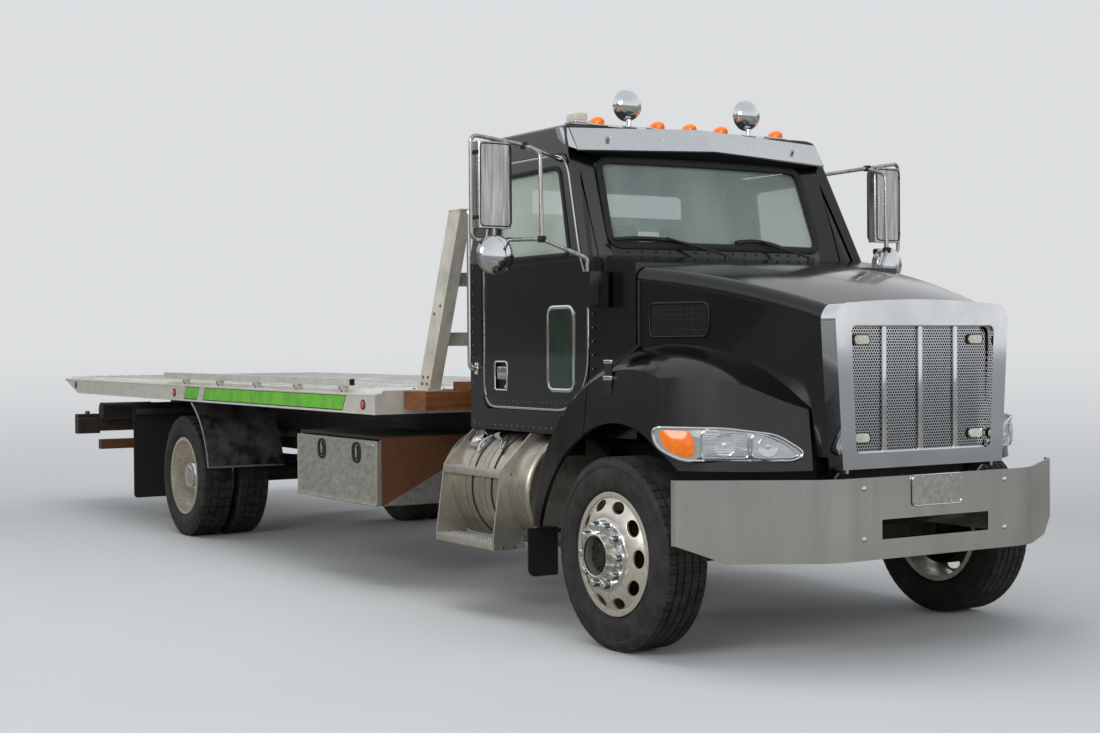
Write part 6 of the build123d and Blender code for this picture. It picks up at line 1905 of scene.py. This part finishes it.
@dataclass
class Studio:
    """A plain pale floor, soft lamps, and the camera at the photograph's place."""

    camera_at: tuple[float, float, float] = (10.583, -5.6315, 1.4736)
    yaw: float = 147.933
    pitch: float = -0.8085
    roll: float = -0.393
    focal_px: float = 1666.42
    frame_px: float = 1100.0
    sensor_mm: float = 36.0
    farthest: float = 200.0
    floor_half: float = 160.0
    backdrop: str = "dcdee0"
    dome: tuple[tuple[float, str], ...] = ((0.0, "b9bcbf"), (0.04, "d5d8da"), (0.2, "e6e8ea"), (0.5, "a9aeb2"),
                                           (1.0, "8f9498"))
    tree_line: tuple[tuple[float, str], ...] = ((0.1, "565049"), (0.22, "77726b"), (0.31, "b9b9b8"),
                                                (0.4, "f2f4f6"), (1.0, "d3d8dc"))

    def build(self) -> None:
        """Make the floor, the world, the lamps and the camera, and set the view transform."""
        self.floor()
        self.world()
        self.lamps()
        self.camera()
        bpy.context.scene.view_settings.view_transform = "Standard"

    def floor(self) -> None:
        """A flat pale floor that fades into the backdrop far off; bright metal mirrors it as darker ground."""
        half = self.floor_half
        patch = grid(np.array([[(x, y, 0.0) for y in (-half, half)] for x in (-half, half)]))
        material = bpy.data.materials.new("studio_floor_vinyl")
        material.use_nodes = True
        tree = material.node_tree
        shader = tree.nodes["Principled BSDF"]
        place = add_node(tree, "ShaderNodeTexCoord")
        noise = add_node(tree, "ShaderNodeTexNoise", {"Scale": 1.2, "Detail": 4.0},
                         {"Vector": place.outputs["Object"]})
        vinyl = mixed(tree, noise.outputs["Fac"], "c9cbcc", "cfd0d1")
        path = add_node(tree, "ShaderNodeLightPath")
        reach = add_node(tree, "ShaderNodeVectorMath", {"operation": "LENGTH"}, {0: place.outputs["Object"]})
        away = add_node(tree, "ShaderNodeMapRange", {"From Min": 8.0, "From Max": 24.0},
                        {"Value": reach.outputs["Value"]})
        ground = mixed(tree, away.outputs["Result"], "8d8c84", "d8dadb")
        tree.links.new(mixed(tree, path.outputs["Is Glossy Ray"], vinyl, ground), shader.inputs["Base Color"])
        shader.inputs["Roughness"].default_value = 0.85
        nearness = add_node(tree, "ShaderNodeMath", {"operation": "DIVIDE", 0: 1.0}, {1: reach.outputs["Value"]})
        fade = add_node(tree, "ShaderNodeMapRange", {"From Min": 0.19, "From Max": 0.004},
                        {"Value": nearness.outputs["Value"]})
        seen = add_node(tree, "ShaderNodeMath", {"operation": "MULTIPLY"},
                        {0: fade.outputs["Result"], 1: path.outputs["Is Camera Ray"]})
        far = add_node(tree, "ShaderNodeEmission", {"Color": linear(self.backdrop)})
        blend = add_node(tree, "ShaderNodeMixShader", None,
                         {0: seen.outputs["Value"], 1: shader.outputs["BSDF"], 2: far.outputs["Emission"]})
        tree.links.new(blend.outputs["Shader"], tree.nodes["Material Output"].inputs["Surface"])
        mesh = bpy.data.meshes.new("floor")
        mesh.from_pydata(patch.points.tolist(), [], patch.quads.tolist())
        mesh.materials.append(material)
        obj = bpy.data.objects.new("floor", mesh)
        bpy.context.scene.collection.objects.link(obj)

    def world(self) -> None:
        """A pale backdrop to the eye, a soft dome as light, and a dark tree line for bright metal."""
        world = bpy.data.worlds.new("soft_dome")
        bpy.context.scene.world = world
        world.use_nodes = True
        tree = world.node_tree
        tree.nodes.clear()
        place = add_node(tree, "ShaderNodeTexCoord")
        split = add_node(tree, "ShaderNodeSeparateXYZ", None, {"Vector": place.outputs["Generated"]})
        dome = set_ramp(add_node(tree, "ShaderNodeValToRGB", None, {"Fac": split.outputs["Z"]}), self.dome)
        streaks = add_node(tree, "ShaderNodeMapping", {"Scale": (5.0, 5.0, 1.2)},
                           {"Vector": place.outputs["Generated"]})
        noise = add_node(tree, "ShaderNodeTexNoise", {"Scale": 1.6, "Detail": 3.0},
                         {"Vector": streaks.outputs["Vector"]})
        ragged = add_node(tree, "ShaderNodeMath", {"operation": "MULTIPLY_ADD", 1: 0.34},
                          {0: noise.outputs["Fac"], 2: split.outputs["Z"]})
        open_side = add_node(tree, "ShaderNodeMapRange", {"From Min": 0.1, "From Max": 0.9, "To Max": 0.26},
                             {"Value": split.outputs["X"]})
        lifted = add_node(tree, "ShaderNodeMath", {"operation": "ADD"},
                          {0: ragged.outputs["Value"], 1: open_side.outputs["Result"]})
        line = set_ramp(add_node(tree, "ShaderNodeValToRGB", None, {"Fac": lifted.outputs["Value"]}),
                        self.tree_line)
        path = add_node(tree, "ShaderNodeLightPath")
        lit = mixed(tree, path.outputs["Is Glossy Ray"], dome, line)
        direct = add_node(tree, "ShaderNodeMath", {"operation": "MAXIMUM"},
                          {0: path.outputs["Is Camera Ray"], 1: path.outputs["Is Transmission Ray"]})
        shown = mixed(tree, direct.outputs["Value"], lit, self.backdrop)
        background = add_node(tree, "ShaderNodeBackground", {"Strength": 1.0}, {"Color": shown})
        out = add_node(tree, "ShaderNodeOutputWorld", None, {"Surface": background.outputs["Background"]})
        out.is_active_output = True

    def lamps(self) -> None:
        """Large soft panels: overhead, from the camera's side, and a weaker one behind."""
        for name, place, target, size, power in (
                ("overhead_panel", (1.0, -1.5, 8.5), (0.5, 0.0, 0.5), (9.0, 5.0), 420.0),
                ("near_side_panel", (7.0, -9.5, 5.5), (1.5, 0.0, 1.0), (5.0, 3.5), 330.0),
                ("front_panel", (12.5, 2.5, 4.5), (3.5, 0.0, 1.2), (4.0, 3.0), 180.0),
                ("rear_panel", (-8.0, 6.0, 5.0), (-1.0, 0.0, 1.0), (4.0, 3.0), 160.0)):
            light = bpy.data.lights.new(name, "AREA")
            light.shape, light.size, light.size_y, light.energy = "RECTANGLE", size[0], size[1], power
            obj = bpy.data.objects.new(name, light)
            obj.location = place
            obj.visible_glossy = name == "near_side_panel"
            obj.rotation_euler = (Vector(target) - Vector(place)).to_track_quat("-Z", "Y").to_euler()
            bpy.context.scene.collection.objects.link(obj)

    def camera(self) -> None:
        """The camera from its place, its yaw, pitch and roll, and its focal length in pixels of the photograph."""
        yaw, pitch, roll = (math.radians(a) for a in (self.yaw, self.pitch, self.roll))
        ahead = Vector((math.cos(yaw) * math.cos(pitch), math.sin(yaw) * math.cos(pitch), math.sin(pitch)))
        right = ahead.cross(Vector((0, 0, 1))).normalized()
        up = right.cross(ahead)
        right, up = (right * math.cos(roll) + up * math.sin(roll), up * math.cos(roll) - right * math.sin(roll))
        data = bpy.data.cameras.new("photo_camera")
        data.sensor_width = self.sensor_mm
        data.sensor_fit = "HORIZONTAL"
        data.lens = self.focal_px / self.frame_px * data.sensor_width
        data.clip_end = self.farthest
        obj = bpy.data.objects.new("photo_camera", data)
        obj.matrix_world = Matrix((
            (right.x, up.x, -ahead.x, self.camera_at[0]),
            (right.y, up.y, -ahead.y, self.camera_at[1]),
            (right.z, up.z, -ahead.z, self.camera_at[2]),
            (0.0, 0.0, 0.0, 1.0)))
        bpy.context.scene.collection.objects.link(obj)
        bpy.context.scene.camera = obj


def repaint(frame: dict, paints: Paintbox) -> None:
    """Give every CAD node that stays its finish.

    Args:
        paints: the finishes.
    """
    looks = {
        Look.CHASSIS: ("frame_rails", "axles", "drive_shaft", "leaf_springs", "knuckle_right", "knuckle_left",
                       "tie_rod"),
        Look.FENDER: ("rear_fenders",),
        Look.TANK: ("fuel_tanks",),
        Look.RAIL: ("deck", "rub_rail"),
        Look.CREAM: ("headboard",),
        Look.BRIGHT_SHEET: ("tank_steps",),
        Look.CAST: ("engine_block", "radiator"),
        Look.BUMPER: ("bumper",),
        Look.CHROME: ("grille_surround", "grab_handles"),
        Look.BRUSHED: ("mirror_right", "mirror_left"),
        Look.STAINLESS: ("sun_visor", "grille_screen"),
        Look.ENAMEL: ("cab_shell", "door_right", "door_left", "hood_shell", "fender_rears"),
        Look.GLASS: ("cab_glass",),
        Look.DOOR_GLASS: ("door_glass_right", "door_glass_left"),
        Look.LENS: ("headlamps",),
        Look.AMBER: ("roof_lamps",),
        Look.GREY_PLASTIC: ("dashboard",),
        Look.BLACK_PLASTIC: ("steering_wheel",),
        Look.SEAT_CLOTH: ("seats",),
        Look.WHEEL: ("front_wheel_right", "front_wheel_left", "rear_wheels_right", "rear_wheels_left"),
        Look.TYRE: ("front_tyre_right", "front_tyre_left", "rear_tyres_right", "rear_tyres_left"),
        Look.RUBBER: ("mud_flaps",),
        Look.GALVANISED: ("tool_boxes", "toolbox_door_right", "toolbox_door_left"),
        Look.TIMBER: ("headboard_timbers",),
        Look.WORN_STEEL: ("tilt_frame", "tilt_barrels", "winch_stand", "winch_drum", "lift_boom", "lift_bar",
                          "exhaust"),
        Look.ROD: ("tilt_rods",),
        }
    for look, names in looks.items():
        for name in names:
            node = frame["nodes"][name]
            if not node.material_slots:
                node.data.materials.append(None)
            for place in node.material_slots:
                place.material = paints[look]


def main() -> None:
    """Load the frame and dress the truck."""
    logging.basicConfig(level=logging.INFO, format="%(name)s %(message)s")
    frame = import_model()
    Studio().build()
    paints = Paintbox()
    repaint(frame, paints)
    for part in (Tyres, FrontWheels, WheelTrim, Grille, Headlamp, Bumper, DoorDress, Windscreen, RoofLamps,
                 Mirrors, CabFittings, Seats, BedDress, BoxDress, TankDress, ChassisDress, HoodDress):
        part(paints).build()
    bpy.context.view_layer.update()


if __name__ == "__main__":
    main()
